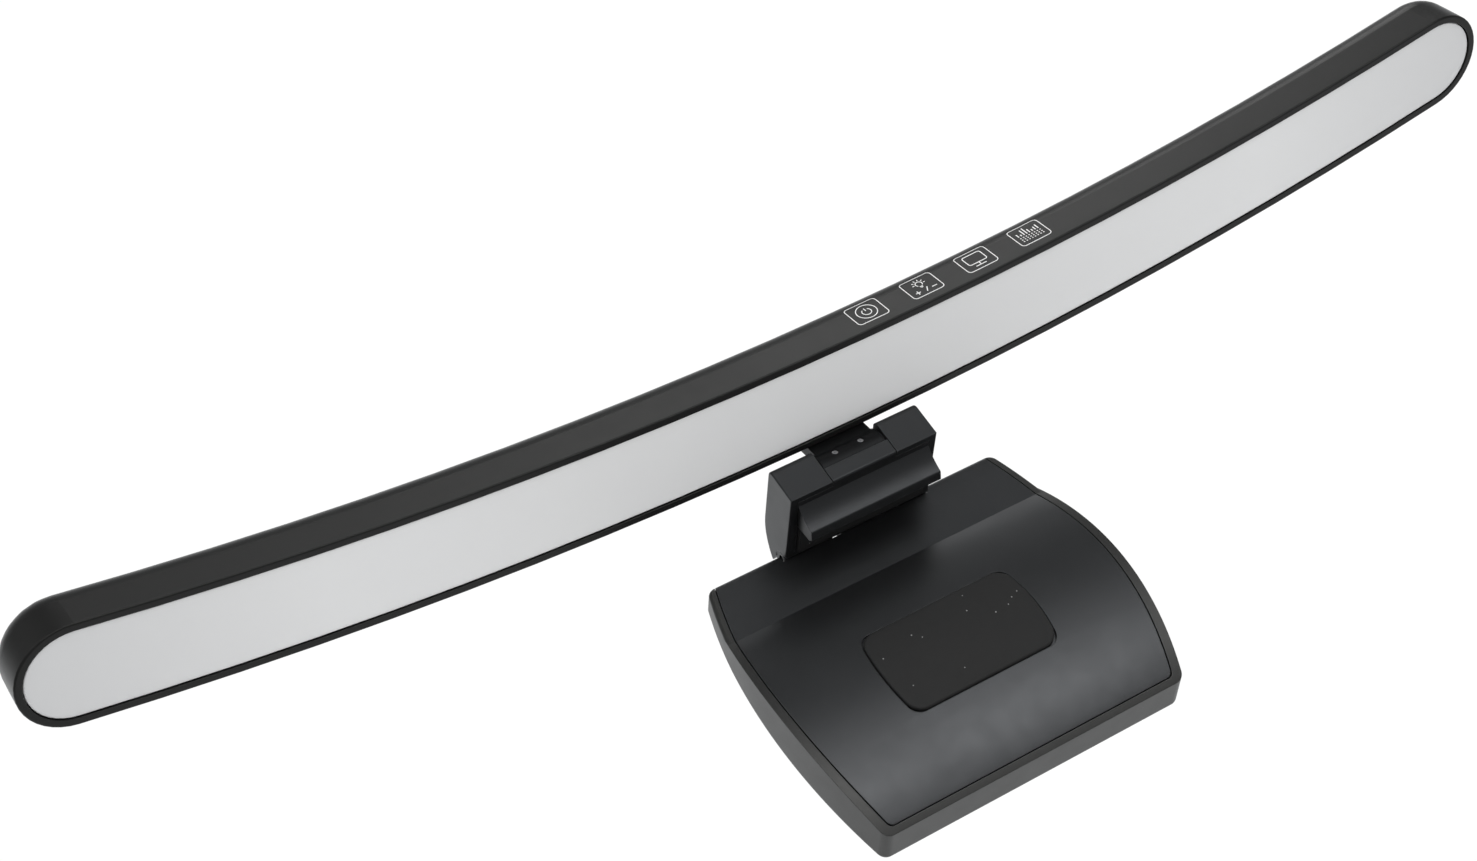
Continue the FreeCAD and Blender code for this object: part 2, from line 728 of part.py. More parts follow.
def screw_along_y(x, z, head_y, head_radius, head_length, shank_radius, shank_length, toward_rear):
    """A cross-recess screw along Y whose head starts at head_y."""
    direction = 1 if toward_rear else -1
    x0, y0, z0 = value(x), value(head_y), value(z)
    head = Part.makeCylinder(head_radius, head_length, V(x0, y0, z0), V(0, direction, 0))
    shank_start = V(x0, y0 + direction * head_length, z0)
    shank = Part.makeCylinder(shank_radius, shank_length, shank_start, V(0, direction, 0))
    recess = Part.makeBox(head_radius * 0.9, head_length * 0.5, head_radius * 0.25)
    recess.translate(V(-head_radius * 0.45, 0, -head_radius * 0.125))
    recess = recess.fuse(rotated_copy(recess, 90))
    if not toward_rear:
        recess = recess.mirror(V(0, 0, 0), V(0, 1, 0))
    recess.translate(V(x0, y0, z0))
    return head.fuse(shank).cut(recess).removeSplitter()


def rotated_copy(shape, degrees):
    copy = shape.copy()
    copy.rotate(V(0, 0, 0), V(0, 1, 0), degrees)
    return copy


def screw_set(name, screws):
    """Cross-recess screws share one node as a group of solids, because a sketch fits them badly."""
    feature = doc.addObject("Part::Feature", name + "_solids")
    feature.Shape = Part.makeCompound(screws)
    return feature


def make_arm_screws():
    head_y = f"{REAR_FACE_Y} - dim.rim - 1.45"
    shank = value("dim.rim + dim.arm_screw_grip")
    screws = [
        screw_along_y(f"{side}dim.arm_screw_x", bar_level("dim.arm_screw_level"), head_y,
                      2.1, 1.4, 1.0, shank, True)
        for side in ("-", "")
    ]
    return keep_in_head("arm_screws", screw_set("arm_screws", screws))


def make_friction_sleeve():
    """A steel sleeve, held in the barrel by its set screws, that grips the tilt pin."""
    outer = rod("sleeve_outside", "dim.sleeve_radius", "-dim.barrel_half + 0.2", "dim.barrel_half - 0.2")
    inner = rod("sleeve_bore", "dim.tilt_pin_radius + dim.running_gap", "-dim.barrel_half - 1",
                "dim.barrel_half + 1")
    return keep_in_head("friction_sleeve", cut("friction_sleeve_ring", outer, inner))


def make_set_screws():
    radius = value("dim.barrel_radius")
    reach = radius - value("dim.sleeve_radius")
    head = 0.8
    recess = 0.35
    screws = [
        screw_along_y(f"{side}dim.set_screw_x", "0", str(recess - radius),
                      value("dim.set_screw_pocket") - 0.1, head, value("dim.set_screw_radius"),
                      reach - recess - head - 0.03, True)
        for side in ("-", "")
    ]
    return keep_in_head("set_screws", screw_set("set_screws", screws))


# ---------------------------------------------------------------- clamp

NOTCH_OPEN, NOTCH_CLOSE = "62deg", "200deg"


def notch_point(angle):
    return (f"dim.swing_y + dim.notch_radius * cos({angle})",
            f"dim.swing_z + dim.notch_radius * sin({angle})")


def block_corners():
    """Side view of the block: leaning front, rounded nose at the rear, notch over the swing hinge."""
    return [
        ("dim.block_front", "dim.underside"),
        ("dim.block_rear", "dim.underside"),
        (*notch_point(NOTCH_CLOSE), "-dim.notch_radius"),
        notch_point(NOTCH_OPEN),
        ("dim.nose_y", "dim.nose_z", "dim.nose_radius"),
        ("dim.nose_start", "dim.block_top"),
        ("dim.block_front - dim.block_lean", "dim.block_top"),
    ]


def hollow_corners(front):
    """Side view of the space inside the block, from a front limit to behind the seat."""
    lean = "dim.block_lean * 0.8" if front == FRONT_INSIDE else "0"
    return [
        (front, "dim.underside - 1"),
        ("dim.block_rear - 1.6", "dim.underside - 1"),
        ("dim.block_rear - 1.6", "dim.underside + 4"),
        ("dim.block_rear", "dim.underside + 6.2"),
        ("dim.nose_y - 4", "dim.nose_z + 0.5", "dim.nose_radius - dim.shell"),
        ("dim.nose_start", "dim.block_top - dim.shell"),
        (f"{front} - {lean}", "dim.block_top - dim.shell"),
    ]


FRONT_INSIDE = "dim.block_front + dim.shell"
CHEEK_INSIDE = "dim.block_half - dim.cheek"
RIB_OUTSIDE = "dim.slot_half + dim.rib"
PIN_STOP = f"({RIB_OUTSIDE} - 1)"


def make_clamp_housing():
    body = new_body("clamp_housing_body")
    side = new_sketch(body, "YZ_Plane", "block_side")
    outline(side, block_corners())
    pad(body, side, "2 * dim.block_half", symmetric=True)
    top, front = value("dim.block_top"), value("dim.block_front - dim.block_lean")
    round_edges(body, "1.8", lambda p, e: near(p.z, top) and near(p.y, front), "block_brow_round")
    round_edges(body, "0.5", lambda p, e: near(abs(p.x), value("dim.block_half")), "block_cheek_round")
    chamber = new_sketch(body, "YZ_Plane", "side_chamber", lift=RIB_OUTSIDE)
    outline(chamber, hollow_corners(FRONT_INSIDE))
    cut_side = pocket(body, chamber, f"{CHEEK_INSIDE} - ({RIB_OUTSIDE})", reversed_side=True)
    mirror(body, [cut_side])
    middle = new_sketch(body, "YZ_Plane", "middle_chamber")
    outline(middle, hollow_corners("dim.slot_back + dim.shell"))
    pocket(body, middle, "2 * dim.slot_half", symmetric=True)
    slot = new_sketch(body, "YZ_Plane", "barrel_slot")
    rectangle(slot, "dim.block_front - 4", "dim.slot_back", "0", "dim.block_top + 2")
    pocket(body, slot, "2 * dim.slot_half", symmetric=True)
    floor_seat = new_sketch(body, "XY_Plane", "floor_seat", lift="dim.underside - 1")
    rectangle(floor_seat, f"-({CHEEK_INSIDE})", CHEEK_INSIDE, FRONT_INSIDE, "dim.block_rear - 1.6")
    pocket(body, floor_seat, "dim.floor_thick + 1", reversed_side=True)
    cut_pin_slots(body)
    add_swing_ears(body)
    add_screw_posts(body)
    return keep_in_clamp("clamp_housing", body)


def cut_pin_slots(body):
    """Slots, open below and stopped at their outer ends, that the tilt pin drops into."""
    reach = f"2 * {PIN_STOP}"
    bore = new_sketch(body, "YZ_Plane", "tilt_pin_bore")
    circle(bore, "dim.tilt_y", "dim.tilt_z", "dim.tilt_pin_radius")
    pocket(body, bore, reach, symmetric=True)
    slot = new_sketch(body, "YZ_Plane", "tilt_pin_slot")
    rectangle(slot, "dim.tilt_y - dim.tilt_pin_radius", "dim.tilt_y + dim.tilt_pin_radius",
              "dim.underside", "dim.tilt_z")
    pocket(body, slot, reach, symmetric=True)


def add_swing_ears(body):
    """Two ears in the notch that carry the swing pin."""
    ear = new_sketch(body, "YZ_Plane", "swing_ear", lift="dim.ear_from")
    left, right = "dim.swing_y - dim.lug_radius", "dim.swing_y + dim.lug_radius"
    outline(ear, [
        (left, "dim.swing_z", "dim.lug_radius * 1.0001"),
        (right, "dim.swing_z"),
        (right, "dim.swing_z + dim.ear_height"),
        (left, "dim.swing_z + dim.ear_height"),
    ])
    solid = pad(body, ear, "dim.ear_to - dim.ear_from")
    hole = new_sketch(body, "YZ_Plane", "swing_pin_hole", lift="dim.ear_from - 1")
    circle(hole, "dim.swing_y", "dim.swing_z", "dim.swing_pin_radius")
    bore = pocket(body, hole, "dim.ear_to - dim.ear_from + 2", reversed_side=True)
    mirror(body, [solid, bore])


def add_screw_posts(body):
    """Posts inside the side chambers that take the floor's screws."""
    post = new_sketch(body, "XY_Plane", "screw_post", lift="dim.underside + dim.floor_thick")
    circle(post, "dim.screw_x", "dim.screw_y", "dim.screw_post")
    solid = pad(body, post, "dim.block_top - dim.shell - dim.underside - dim.floor_thick + 0.5")
    hole = new_sketch(body, "XY_Plane", "screw_post_hole", lift="dim.underside + dim.floor_thick - 0.5")
    circle(hole, "dim.screw_x", "dim.screw_y", "dim.screw_pilot")
    bore = pocket(body, hole, "7", reversed_side=True)
    mirror(body, [solid, bore])


def make_clamp_jaw():
    """The block's floor, the tongue under the barrel and the hook that drops in front of the screen."""
    body = new_body("clamp_jaw_body")
    plate = new_sketch(body, "XY_Plane", "jaw_floor", lift="dim.underside")
    rectangle(plate, "-dim.lip_half", "dim.lip_half",
              f"{FRONT_INSIDE} + 0.1", "dim.block_rear - 1.7")
    pad(body, plate, "dim.floor_thick")
    tongue = new_sketch(body, "YZ_Plane", "jaw_tongue")
    lean = "dim.block_lean * (dim.tongue_top - dim.underside) / (dim.block_top - dim.underside)"
    outline(tongue, [
        ("dim.block_front", "dim.underside"),
        (f"{FRONT_INSIDE} + 0.5", "dim.underside"),
        (f"{FRONT_INSIDE} + 0.5", "dim.tongue_top"),
        (f"dim.block_front - {lean}", "dim.tongue_top"),
    ])
    pad(body, tongue, "2 * (dim.slot_half - dim.tongue_gap)", symmetric=True)
    front, foot = value("dim.block_front"), value("dim.underside")
    round_edges(body, "dim.tongue_round", lambda p, e: near(p.y, front) and near(p.z, foot),
                "tongue_edge_round")
    cradle = new_sketch(body, "YZ_Plane", "barrel_cradle")
    circle(cradle, "dim.tilt_y", "dim.tilt_z", "dim.barrel_radius + 0.25")
    pocket(body, cradle, "2 * dim.slot_half", symmetric=True)
    lip = new_sketch(body, "YZ_Plane", "lip_side")
    outline(lip, [
        ("dim.lip_root", "dim.underside + 0.5"),
        ("dim.lip_root", "dim.underside", "-dim.lip_hollow"),
        ("-4.9", "-dim.lip_drop"),
        ("-2.2", "-dim.lip_drop - 0.6"),
        ("-dim.pad_thick", "-dim.lip_drop + 0.6"),
        ("-dim.pad_thick", "dim.underside + 0.5"),
    ])
    pad(body, lip, "2 * dim.lip_half", symmetric=True)
    low, ahead = value("-dim.lip_drop"), value("-4.9")
    round_edges(body, "0.5", lambda p, e: near(p.z, low) and near(p.y, ahead), "lip_edge_round")
    add_pin_props(body)
    holes = new_sketch(body, "XY_Plane", "jaw_screw_holes", lift="dim.underside - 0.5")
    for side in ("-", ""):
        circle(holes, f"{side}dim.screw_x", "dim.screw_y", "dim.screw_clearance")
    pocket(body, holes, "dim.floor_thick + 1", reversed_side=True)
    sinks = new_sketch(body, "XY_Plane", "jaw_screw_sinks", lift="dim.underside - 0.5")
    for side in ("-", ""):
        circle(sinks, f"{side}dim.screw_x", "dim.screw_y", "dim.screw_sink")
    pocket(body, sinks, "1.4", reversed_side=True)
    return keep_in_clamp("clamp_jaw", body)


def add_pin_props(body):
    """Props that rise into the housing's slots and close them under the tilt pin."""
    prop = new_sketch(body, "YZ_Plane", "pin_prop", lift="dim.slot_half + 0.15")
    half = "dim.tilt_pin_radius - 0.1"
    rectangle(prop, f"dim.tilt_y - ({half})", f"dim.tilt_y + ({half})",
              "dim.underside + 0.5", "dim.tilt_z - 0.7")
    solid = pad(body, prop, f"{PIN_STOP} - dim.slot_half - 0.3")
    saddle = new_sketch(body, "YZ_Plane", "pin_saddle", lift="dim.slot_half")
    circle(saddle, "dim.tilt_y", "dim.tilt_z", "dim.tilt_pin_radius + 0.02")
    hollow = pocket(body, saddle, "dim.rib", reversed_side=True)
    mirror(body, [solid, hollow])


def make_jaw_screws():
    """Countersunk screws from below, hidden by the seat pad."""
    screws = []
    for side in (-1, 1):
        place = V(side * value("dim.screw_x"), value("dim.screw_y"), value("dim.underside") + 0.02)
        head = Part.makeCylinder(1.9, 0.8, place)
        shank = Part.makeCylinder(0.8, 6.0, place + V(0, 0, 0.8))
        slot = Part.makeBox(2.6, 0.5, 0.4, place + V(-1.3, -0.25, 0))
        cross = Part.makeBox(0.5, 2.6, 0.4, place + V(-0.25, -1.3, 0))
        screws.append(head.fuse(shank).cut(slot).cut(cross).removeSplitter())
    return keep_in_clamp("jaw_screws", screw_set("jaw_screws", screws))


def make_lip_pad():
    """Silicone lining, L-shaped, on the hook's inner face and the seat."""
    body = new_body("lip_pad_body")
    side = new_sketch(body, "YZ_Plane", "lip_pad_side")
    outline(side, [
        ("-dim.pad_thick", "-dim.lip_drop + 0.8"),
        ("0", "-dim.lip_drop + 1.4"),
        ("0", "0"),
        ("dim.seat_depth", "0"),
        ("dim.seat_depth", "dim.underside"),
        ("-dim.pad_thick", "dim.underside"),
    ])
    pad(body, side, "2 * (dim.lip_half - 0.6)", symmetric=True)
    return keep_in_clamp("lip_pad", body)


def make_tilt_pin():
    end = f"({PIN_STOP} - 0.1)"
    pin = rod("tilt_pin_rod", "dim.tilt_pin_radius", f"-{end}", end, "dim.tilt_y", "dim.tilt_z")
    pin.Label = "tilt_pin"
    NODES.append(pin)
    return pin


def ring_pair(name, outer, inner, x_low, x_high, y, z):
    """Two rings along X, one each side of the middle."""
    rings = []
    for side, low, high in (("right", x_low, x_high), ("left", f"-({x_high})", f"-({x_low})")):
        disc = rod(f"{name}_{side}_disc", outer, low, high, y, z)
        hole = rod(f"{name}_{side}_hole", inner, f"{low} - 1", f"{high} + 1", y, z)
        rings.append(cut(f"{name}_{side}", disc, hole))
    return group(name, rings)


def make_tilt_washers():
    washers = ring_pair("tilt_washers_pair", "4.6", "dim.tilt_pin_radius + 0.05",
                        "dim.barrel_half + 0.05", "dim.slot_half - 0.05", "dim.tilt_y", "dim.tilt_z")
    return keep_in_clamp("tilt_washers", washers)


def make_swing_pin():
    pin = rod("swing_pin_rod", "dim.swing_pin_radius", "-23.2", "23.2", "dim.swing_y", "dim.swing_z")
    pin.Label = "swing_pin"
    NODES.append(pin)
    return pin


def make_swing_washers():
    washers = ring_pair("swing_washers_pair", "1.8", "dim.swing_pin_radius + 0.05",
                        "dim.lug_end + 0.15", "dim.ear_from - 0.05", "dim.swing_y", "dim.swing_z")
    return keep_in_clamp("swing_washers", washers)


# ---------------------------------------------------------------- counterweight

PLATE_TOP = "dim.plate_top"
GAP_FLOOR = "-dim.gap_floor"


def front_line(depth, top=PLATE_TOP):
    """Top, crease and toe of the plate's front surface, moved back by a depth."""
    return [
        (f"-dim.plate_front + ({depth})", top),
        (f"-dim.plate_front + 0.2 + ({depth})", "-dim.crease_drop", "dim.arch_radius"),
        (f"dim.toe_back + ({depth})", "-dim.toe_drop"),
    ]


def solid_view(wall):
    """Side view from the front surface to the back surface less a wall."""
    top, crease, toe = front_line("0")
    heel = (f"dim.heel_back - ({wall})", "-dim.heel_drop", "-dim.hollow_radius")
    waist = (f"dim.waist_back - ({wall})", "-dim.waist_drop")
    shoulder = (f"dim.shoulder_back - ({wall})", PLATE_TOP)
    return [toe, heel, waist, shoulder, top, crease]


def panel_view(front_depth, back_depth, top=PLATE_TOP):
    """Side view of a panel between two depths behind the front surface."""
    front_top, crease, toe = front_line(front_depth, top)
    back_top, back_crease, back_toe = front_line(back_depth, top)
    return [toe, (*back_toe, "-dim.arch_radius"), back_crease[:2], back_top, front_top, crease]


def plate_outline(inset, top=PLATE_TOP, middle=()):
    """Front view of the plate, drawn in by an inset, with bowed sides.

    The middle holds the corners of the top edge, from right to left, between its two ends.
    """
    radius = f"dim.side_radius - ({inset})"
    low = f"-dim.heel_drop + ({inset})"
    half_low, half_top = f"(dim.plate_half_toe - ({inset}))", f"(dim.plate_half_top - ({inset}))"
    return [
        (f"-{half_low}", low),
        (half_low, low, radius),
        (half_top, top),
        *middle,
        (f"-{half_top}", top, radius),
    ]


HINGE_GAP = (
    ("dim.gap_half", PLATE_TOP),
    ("dim.gap_half", GAP_FLOOR),
    ("-dim.gap_half", GAP_FLOOR),
    ("-dim.gap_half", PLATE_TOP),
)


def grip_outline(grow):
    """Front view of the grip pad: straight top and bottom, bowed ends."""
    half, reach = f"(dim.grip_half + {grow})", f"(dim.grip_length / 2 + {grow})"
    return [
        (f"-{half}", f"-dim.grip_level - {reach}"),
        (half, f"-dim.grip_level - {reach}", "dim.grip_side_radius"),
        (half, f"-dim.grip_level + {reach}"),
        (f"-{half}", f"-dim.grip_level + {reach}", "dim.grip_side_radius"),
    ]


def trimmed_panel(name, side_corners, front_corners, corner_radius, levels):
    """A side view drawn out along X, trimmed to a front view, with the corners at some levels rounded."""
    body = new_body(name)
    side = new_sketch(body, "YZ_Plane", name + "_side")
    outline(side, side_corners)
    pad(body, side, "140", symmetric=True)
    front = new_sketch(body, "XZ_Plane", name + "_front")
    rectangle(front, "-80", "80", "-120", "40")
    outline(front, front_corners)
    pocket(body, front, "200", symmetric=True)
    heights = [value(level) for level in levels]
    near_side = 0.8 * body.Shape.BoundBox.XMax

    def corner(p, edge):
        return along_y(edge) and abs(p.x) > near_side and any(near(p.z, height, 0.3) for height in heights)

    round_edges(body, corner_radius, corner, name + "_corners")
    return body


def along_y(edge):
    return near(abs(edge.tangentAt(edge.FirstParameter).y), 1.0)


def boss_points():
    return [(f"{side}dim.post_x", f"-dim.post_{level}", f"dim.post_{level}_face")
            for side in ("-", "") for level in ("high", "low")]


def rods_along_y(name, radius, spans):
    """Cylinders along Y, each given as x, z, front end and back end."""
    rods = []
    for index, (x, z, start, end) in enumerate(spans):
        bar = doc.addObject("Part::Cylinder", f"{name}_{index}")
        bar.setExpression("Radius", radius)
        bar.setExpression("Height", f"({end}) - ({start})")
        place = V(value(x), value(start), value(z))
        bar.Placement = FreeCAD.Placement(place, FreeCAD.Rotation(V(1, 0, 0), -90))
        for axis, expression in (("x", x), ("y", start), ("z", z)):
            bar.setExpression(f"Placement.Base.{axis}", expression)
        rods.append(bar)
    return group(name, rods)


def make_weight_tray():
    blank = trimmed_panel("tray_blank", solid_view("0"), plate_outline("0", middle=HINGE_GAP),
                          "dim.plate_corner", ("-dim.heel_drop", PLATE_TOP))
    soften_tray(blank)
    above = f"{PLATE_TOP} + 6"
    open_half = "(dim.plate_half_top - dim.plate_rim)"
    open_top = ((open_half, above), (f"-{open_half}", above))
    recess = trimmed_panel("tray_recess", panel_view("-8", "dim.cover_thick + 0.05", above),
                           plate_outline("dim.plate_rim", middle=open_top), "dim.plate_corner - 1",
                           ("-dim.heel_drop + dim.plate_rim",))
    wall = "dim.plate_rim + 1.6"
    cavity = trimmed_panel("tray_cavity", solid_view("dim.back_wall"),
                           plate_outline(wall, f"{GAP_FLOOR} - 2.2"), "1.5", (f"-dim.heel_drop + {wall}",))
    shell = cut("tray_shell", cut("tray_open", blank, recess), cavity)
    posts = rods_along_y("tray_posts", "dim.post_radius",
                         [(x, z, face, f"{face} + dim.post_length + 1.2") for x, z, face in boss_points()])
    joined = doc.addObject("Part::MultiFuse", "tray_joined")
    joined.Shapes = [shell, posts, swing_lugs()]
    doc.recompute()
    holes = rods_along_y("tray_screw_holes", "dim.post_bore",
                         [(x, z, f"{face} - 1", f"{face} + 4") for x, z, face in boss_points()])
    sinks = rods_along_y("tray_screw_sinks", "dim.post_sink",
                         [(x, z, f"{face} + dim.post_length", f"{face} + 8") for x, z, face in boss_points()])
    drilled = cut("tray_sunk", cut("tray_drilled", joined, holes), sinks)
    return keep_in_counterweight("weight_tray", drilled)


def soften_tray(body):
    """Round the top edge of the front and the outline of the back."""
    side, foot = value("dim.plate_half_top") - 1.5, value("0.5 - dim.toe_drop")
    rear = value("dim.waist_back") - 1.0

    def back_edge(p, edge):
        return p.y > rear and not along_y(edge) and (abs(p.x) > side or p.z < foot)

    top, cut_out = value(PLATE_TOP), value("dim.gap_half")

    def front_top_edge(p, edge):
        return near(p.z, top) and abs(p.x) > cut_out and p.y < rear - 1 and not along_y(edge)

    round_edges(body, "dim.cover_top_edge", front_top_edge, "tray_top_round")
    round_edges(body, "dim.plate_back_edge", back_edge, "tray_back_round")


LUG_SPANS = (("-dim.lug_end", "dim.lug_slit_from"), ("dim.lug_slit_to", "dim.lug_end"))


def swing_lugs():
    """Hinge lugs on the tray's top wall, bored for the swing pin."""
    body = new_body("swing_lugs")
    body.AllowCompound = True
    for index, (low, high) in enumerate(LUG_SPANS):
        disc = new_sketch(body, "YZ_Plane", f"lug_disc_{index}", lift=low)
        circle(disc, "0", "0", "dim.lug_radius")
        pad(body, disc, f"{high} - ({low})")
        web = new_sketch(body, "YZ_Plane", f"lug_web_{index}", lift=low)
        front = "-dim.plate_front + dim.cover_thick + 0.05"
        outline(web, [
            (front, f"{GAP_FLOOR} - 1"),
            ("3.4", f"{GAP_FLOOR} - 1"),
            ("3.4", GAP_FLOOR),
            ("dim.lug_radius", "0"),
            (front, "0"),
        ])
        pad(body, web, f"{high} - ({low})")
    bore = new_sketch(body, "YZ_Plane", "lug_bore")
    circle(bore, "0", "0", "dim.swing_pin_radius + dim.running_gap")
    pocket(body, bore, "40", symmetric=True)
    return body


def make_weight_cover():
    inset = "dim.plate_rim + dim.cover_gap"
    body = trimmed_panel("cover_blank", panel_view("0", "dim.cover_thick"),
                         plate_outline(inset, middle=HINGE_GAP),
                         "dim.plate_corner - 1", (f"-dim.heel_drop + {inset}",))
    front = value("-dim.plate_front")
    top = value(PLATE_TOP)
    round_edges(body, "dim.cover_top_edge", lambda p, e: near(p.z, top) and near(p.y, front),
                "cover_top_round")
    add_cover_bosses(body)
    grip = trimmed_panel("grip_recess", panel_view("-8", "dim.grip_sunk + 0.02"), grip_outline("dim.grip_gap"),
                         "dim.grip_corner", grip_levels("dim.grip_gap"))
    return keep_in_counterweight("weight_cover", cut("cover_with_recess", body, grip))


def add_cover_bosses(body):
    """Bosses that meet the tray's posts, trimmed off at the cover's front."""
    for level in ("high", "low"):
        face = f"dim.post_{level}_face - 0.05"
        boss = new_sketch(body, "XZ_Plane", f"boss_{level}", lift=f"-({face})")
        for side in ("-", ""):
            circle(boss, f"{side}dim.post_x", f"-dim.post_{level}", "dim.boss_radius")
        pad(body, boss, "9")
    front = new_sketch(body, "YZ_Plane", "boss_trim")
    outline(front, panel_view("-14", "0"))
    pocket(body, front, "140", symmetric=True)
    for level in ("high", "low"):
        hole = new_sketch(body, "XZ_Plane", f"boss_hole_{level}", lift=f"-(dim.post_{level}_face + 1)")
        for side in ("-", ""):
            circle(hole, f"{side}dim.post_x", f"-dim.post_{level}", "dim.boss_pilot")
        pocket(body, hole, "5.2", reversed_side=True)


def grip_levels(grow):
    reach = f"(dim.grip_length / 2 + {grow})"
    return (f"-dim.grip_level - {reach}", f"-dim.grip_level + {reach}")


def make_grip_pad():
    body = trimmed_panel("grip_pad_body", panel_view("-dim.grip_proud", "dim.grip_sunk"), grip_outline("0"),
                         "dim.grip_corner", grip_levels("0"))
    return keep_in_counterweight("grip_pad", body)


def slab_place():
    return ("0", "dim.swing_y + dim.slab_front", "dim.swing_z - dim.slab_level")


def make_steel_slab():
    """The counterweight itself: a thick plate with its corners cut away round the posts."""
    body = new_body("steel_slab_body")
    sketch = new_sketch(body, "XZ_Plane", "slab_outline")
    wide, waist = "dim.slab_width / 2", "dim.slab_waist / 2"
    tall, middle = "dim.slab_length / 2", "dim.slab_middle / 2"
    outline(sketch, [
        (f"-{waist}", f"-{tall}"), (waist, f"-{tall}"), (waist, f"-{middle}"),
        (wide, f"-{middle}"), (wide, middle), (waist, middle),
        (waist, tall), (f"-{waist}", tall), (f"-{waist}", middle),
        (f"-{wide}", middle), (f"-{wide}", f"-{middle}"), (f"-{waist}", f"-{middle}"),
    ])
    pad(body, sketch, "dim.slab_thick", reversed_side=True)
    return keep("steel_slab", body, slab_place(), "dim.slab_lean")


def make_slab_foam():
    """A strip of double-sided foam tape between the slab and the tray's back."""
    body = new_body("slab_foam_body")
    sketch = new_sketch(body, "XZ_Plane", "foam_outline", lift="-dim.slab_thick")
    rectangle(sketch, "-30", "30", "-6", "6")
    pad(body, sketch, "dim.foam_thick", reversed_side=True)
    return keep("slab_foam", body, slab_place(), "dim.slab_lean")


def make_cover_screws():
    screws = []
    for x, z, face in boss_points():
        seat = f"{face} + dim.post_length"
        screws.append(screw_along_y(x, z, f"{seat} + 1.3", 2.2, 1.3, 1.0,
                                    value("dim.post_length") + 4.0, False))
    return keep_in_counterweight("cover_screws", screw_set("cover_screws", screws))


# ---------------------------------------------------------------- build

MAKERS = (
    make_bar_housing, make_front_diffuser, make_reflector_tray, make_led_board, make_led_chips,
    make_touch_board, make_touch_electrodes, make_control_board, make_microphone, make_usb_c_socket,
    make_ambient_diffusers, make_ambient_boards, make_ambient_leds, make_tilt_arm, make_arm_screws,
    make_friction_sleeve, make_set_screws,
    make_clamp_housing, make_clamp_jaw, make_jaw_screws, make_lip_pad, make_tilt_pin, make_tilt_washers,
    make_swing_pin, make_swing_washers,
    make_weight_tray, make_weight_cover, make_grip_pad, make_steel_slab, make_slab_foam, make_cover_screws,
)


def check_document():
    for item in doc.Objects:
        assert not {"Invalid", "Error"} & set(item.State), f"{item.Label}: {item.State}"
    for node in NODES:
        assert not node.Shape.isNull() and node.Shape.isValid(), node.Label + " has a bad shape"


def export_nodes():
    os.makedirs("parts", exist_ok=True)
    for node in NODES:
        node.Shape.exportStep(f"parts/{node.Label}.step")


fill_sheet()
for make in MAKERS:
    make()
doc.recompute()
check_document()
export_nodes()
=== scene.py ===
import json
import math

import bpy
from mathutils import Matrix, Vector
from mathutils.bvhtree import BVHTree


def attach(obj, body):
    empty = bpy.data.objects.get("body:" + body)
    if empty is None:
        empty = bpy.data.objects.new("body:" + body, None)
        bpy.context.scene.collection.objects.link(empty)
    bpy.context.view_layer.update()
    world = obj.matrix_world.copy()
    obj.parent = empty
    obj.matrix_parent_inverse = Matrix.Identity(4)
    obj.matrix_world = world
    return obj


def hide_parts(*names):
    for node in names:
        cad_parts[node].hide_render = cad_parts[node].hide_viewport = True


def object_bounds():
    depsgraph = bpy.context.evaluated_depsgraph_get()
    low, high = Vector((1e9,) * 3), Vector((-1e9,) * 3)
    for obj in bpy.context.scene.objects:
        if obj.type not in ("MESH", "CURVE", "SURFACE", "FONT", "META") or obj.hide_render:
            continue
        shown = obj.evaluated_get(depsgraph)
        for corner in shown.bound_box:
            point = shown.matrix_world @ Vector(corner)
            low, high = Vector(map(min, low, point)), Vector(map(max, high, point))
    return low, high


# Monitor light bar: materials, printed touch keys, silicone pads, soft studio light and camera.
# Everything is in metres, in the model's own frame: X to the user's right, Y away from the user,
# Z up, with the origin at the top front edge of the monitor.

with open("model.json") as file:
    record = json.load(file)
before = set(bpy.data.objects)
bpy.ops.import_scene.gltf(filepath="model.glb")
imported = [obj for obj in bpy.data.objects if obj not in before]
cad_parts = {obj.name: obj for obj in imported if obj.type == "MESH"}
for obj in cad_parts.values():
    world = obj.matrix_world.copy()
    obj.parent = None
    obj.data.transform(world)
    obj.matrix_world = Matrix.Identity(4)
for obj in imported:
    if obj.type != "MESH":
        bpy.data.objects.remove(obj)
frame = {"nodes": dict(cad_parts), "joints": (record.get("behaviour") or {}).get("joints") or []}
cad_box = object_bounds()

MM = 0.001
JOINTS = {joint["name"]: Vector(joint["pos_m"]) for joint in frame["joints"]}
TILT_AXIS = JOINTS["bar_tilt"]
SWING_AXIS = JOINTS["counterweight_swing"]
REST_TILT = math.radians(11)          # the bar's front is higher than its back by this angle


# ---------------------------------------------------------------- shader helpers

def socket_value(tree, socket, value):
    """Link a socket to another node's output, or set its constant."""
    if isinstance(value, bpy.types.NodeSocket):
        tree.links.new(value, socket)
    else:
        socket.default_value = value


def add(tree, kind, inputs=None, output=0, **settings):
    """Add a shader node, fill its inputs and return one of its outputs."""
    node = tree.nodes.new("ShaderNode" + kind)
    for key, value in settings.items():
        setattr(node, key, value)
    for key, value in (inputs or {}).items():
        socket_value(tree, node.inputs[key], value)
    return node.outputs[output]


def new_material(name):
    material = bpy.data.materials.new(name)
    material.use_nodes = True
    material.node_tree.nodes.clear()
    return material, material.node_tree


def finish_material(tree, shader):
    output = tree.nodes.new("ShaderNodeOutputMaterial")
    tree.links.new(shader, output.inputs["Surface"])


def place(tree):
    """Position on the piece itself, in metres."""
    return add(tree, "TexCoord", output="Object")


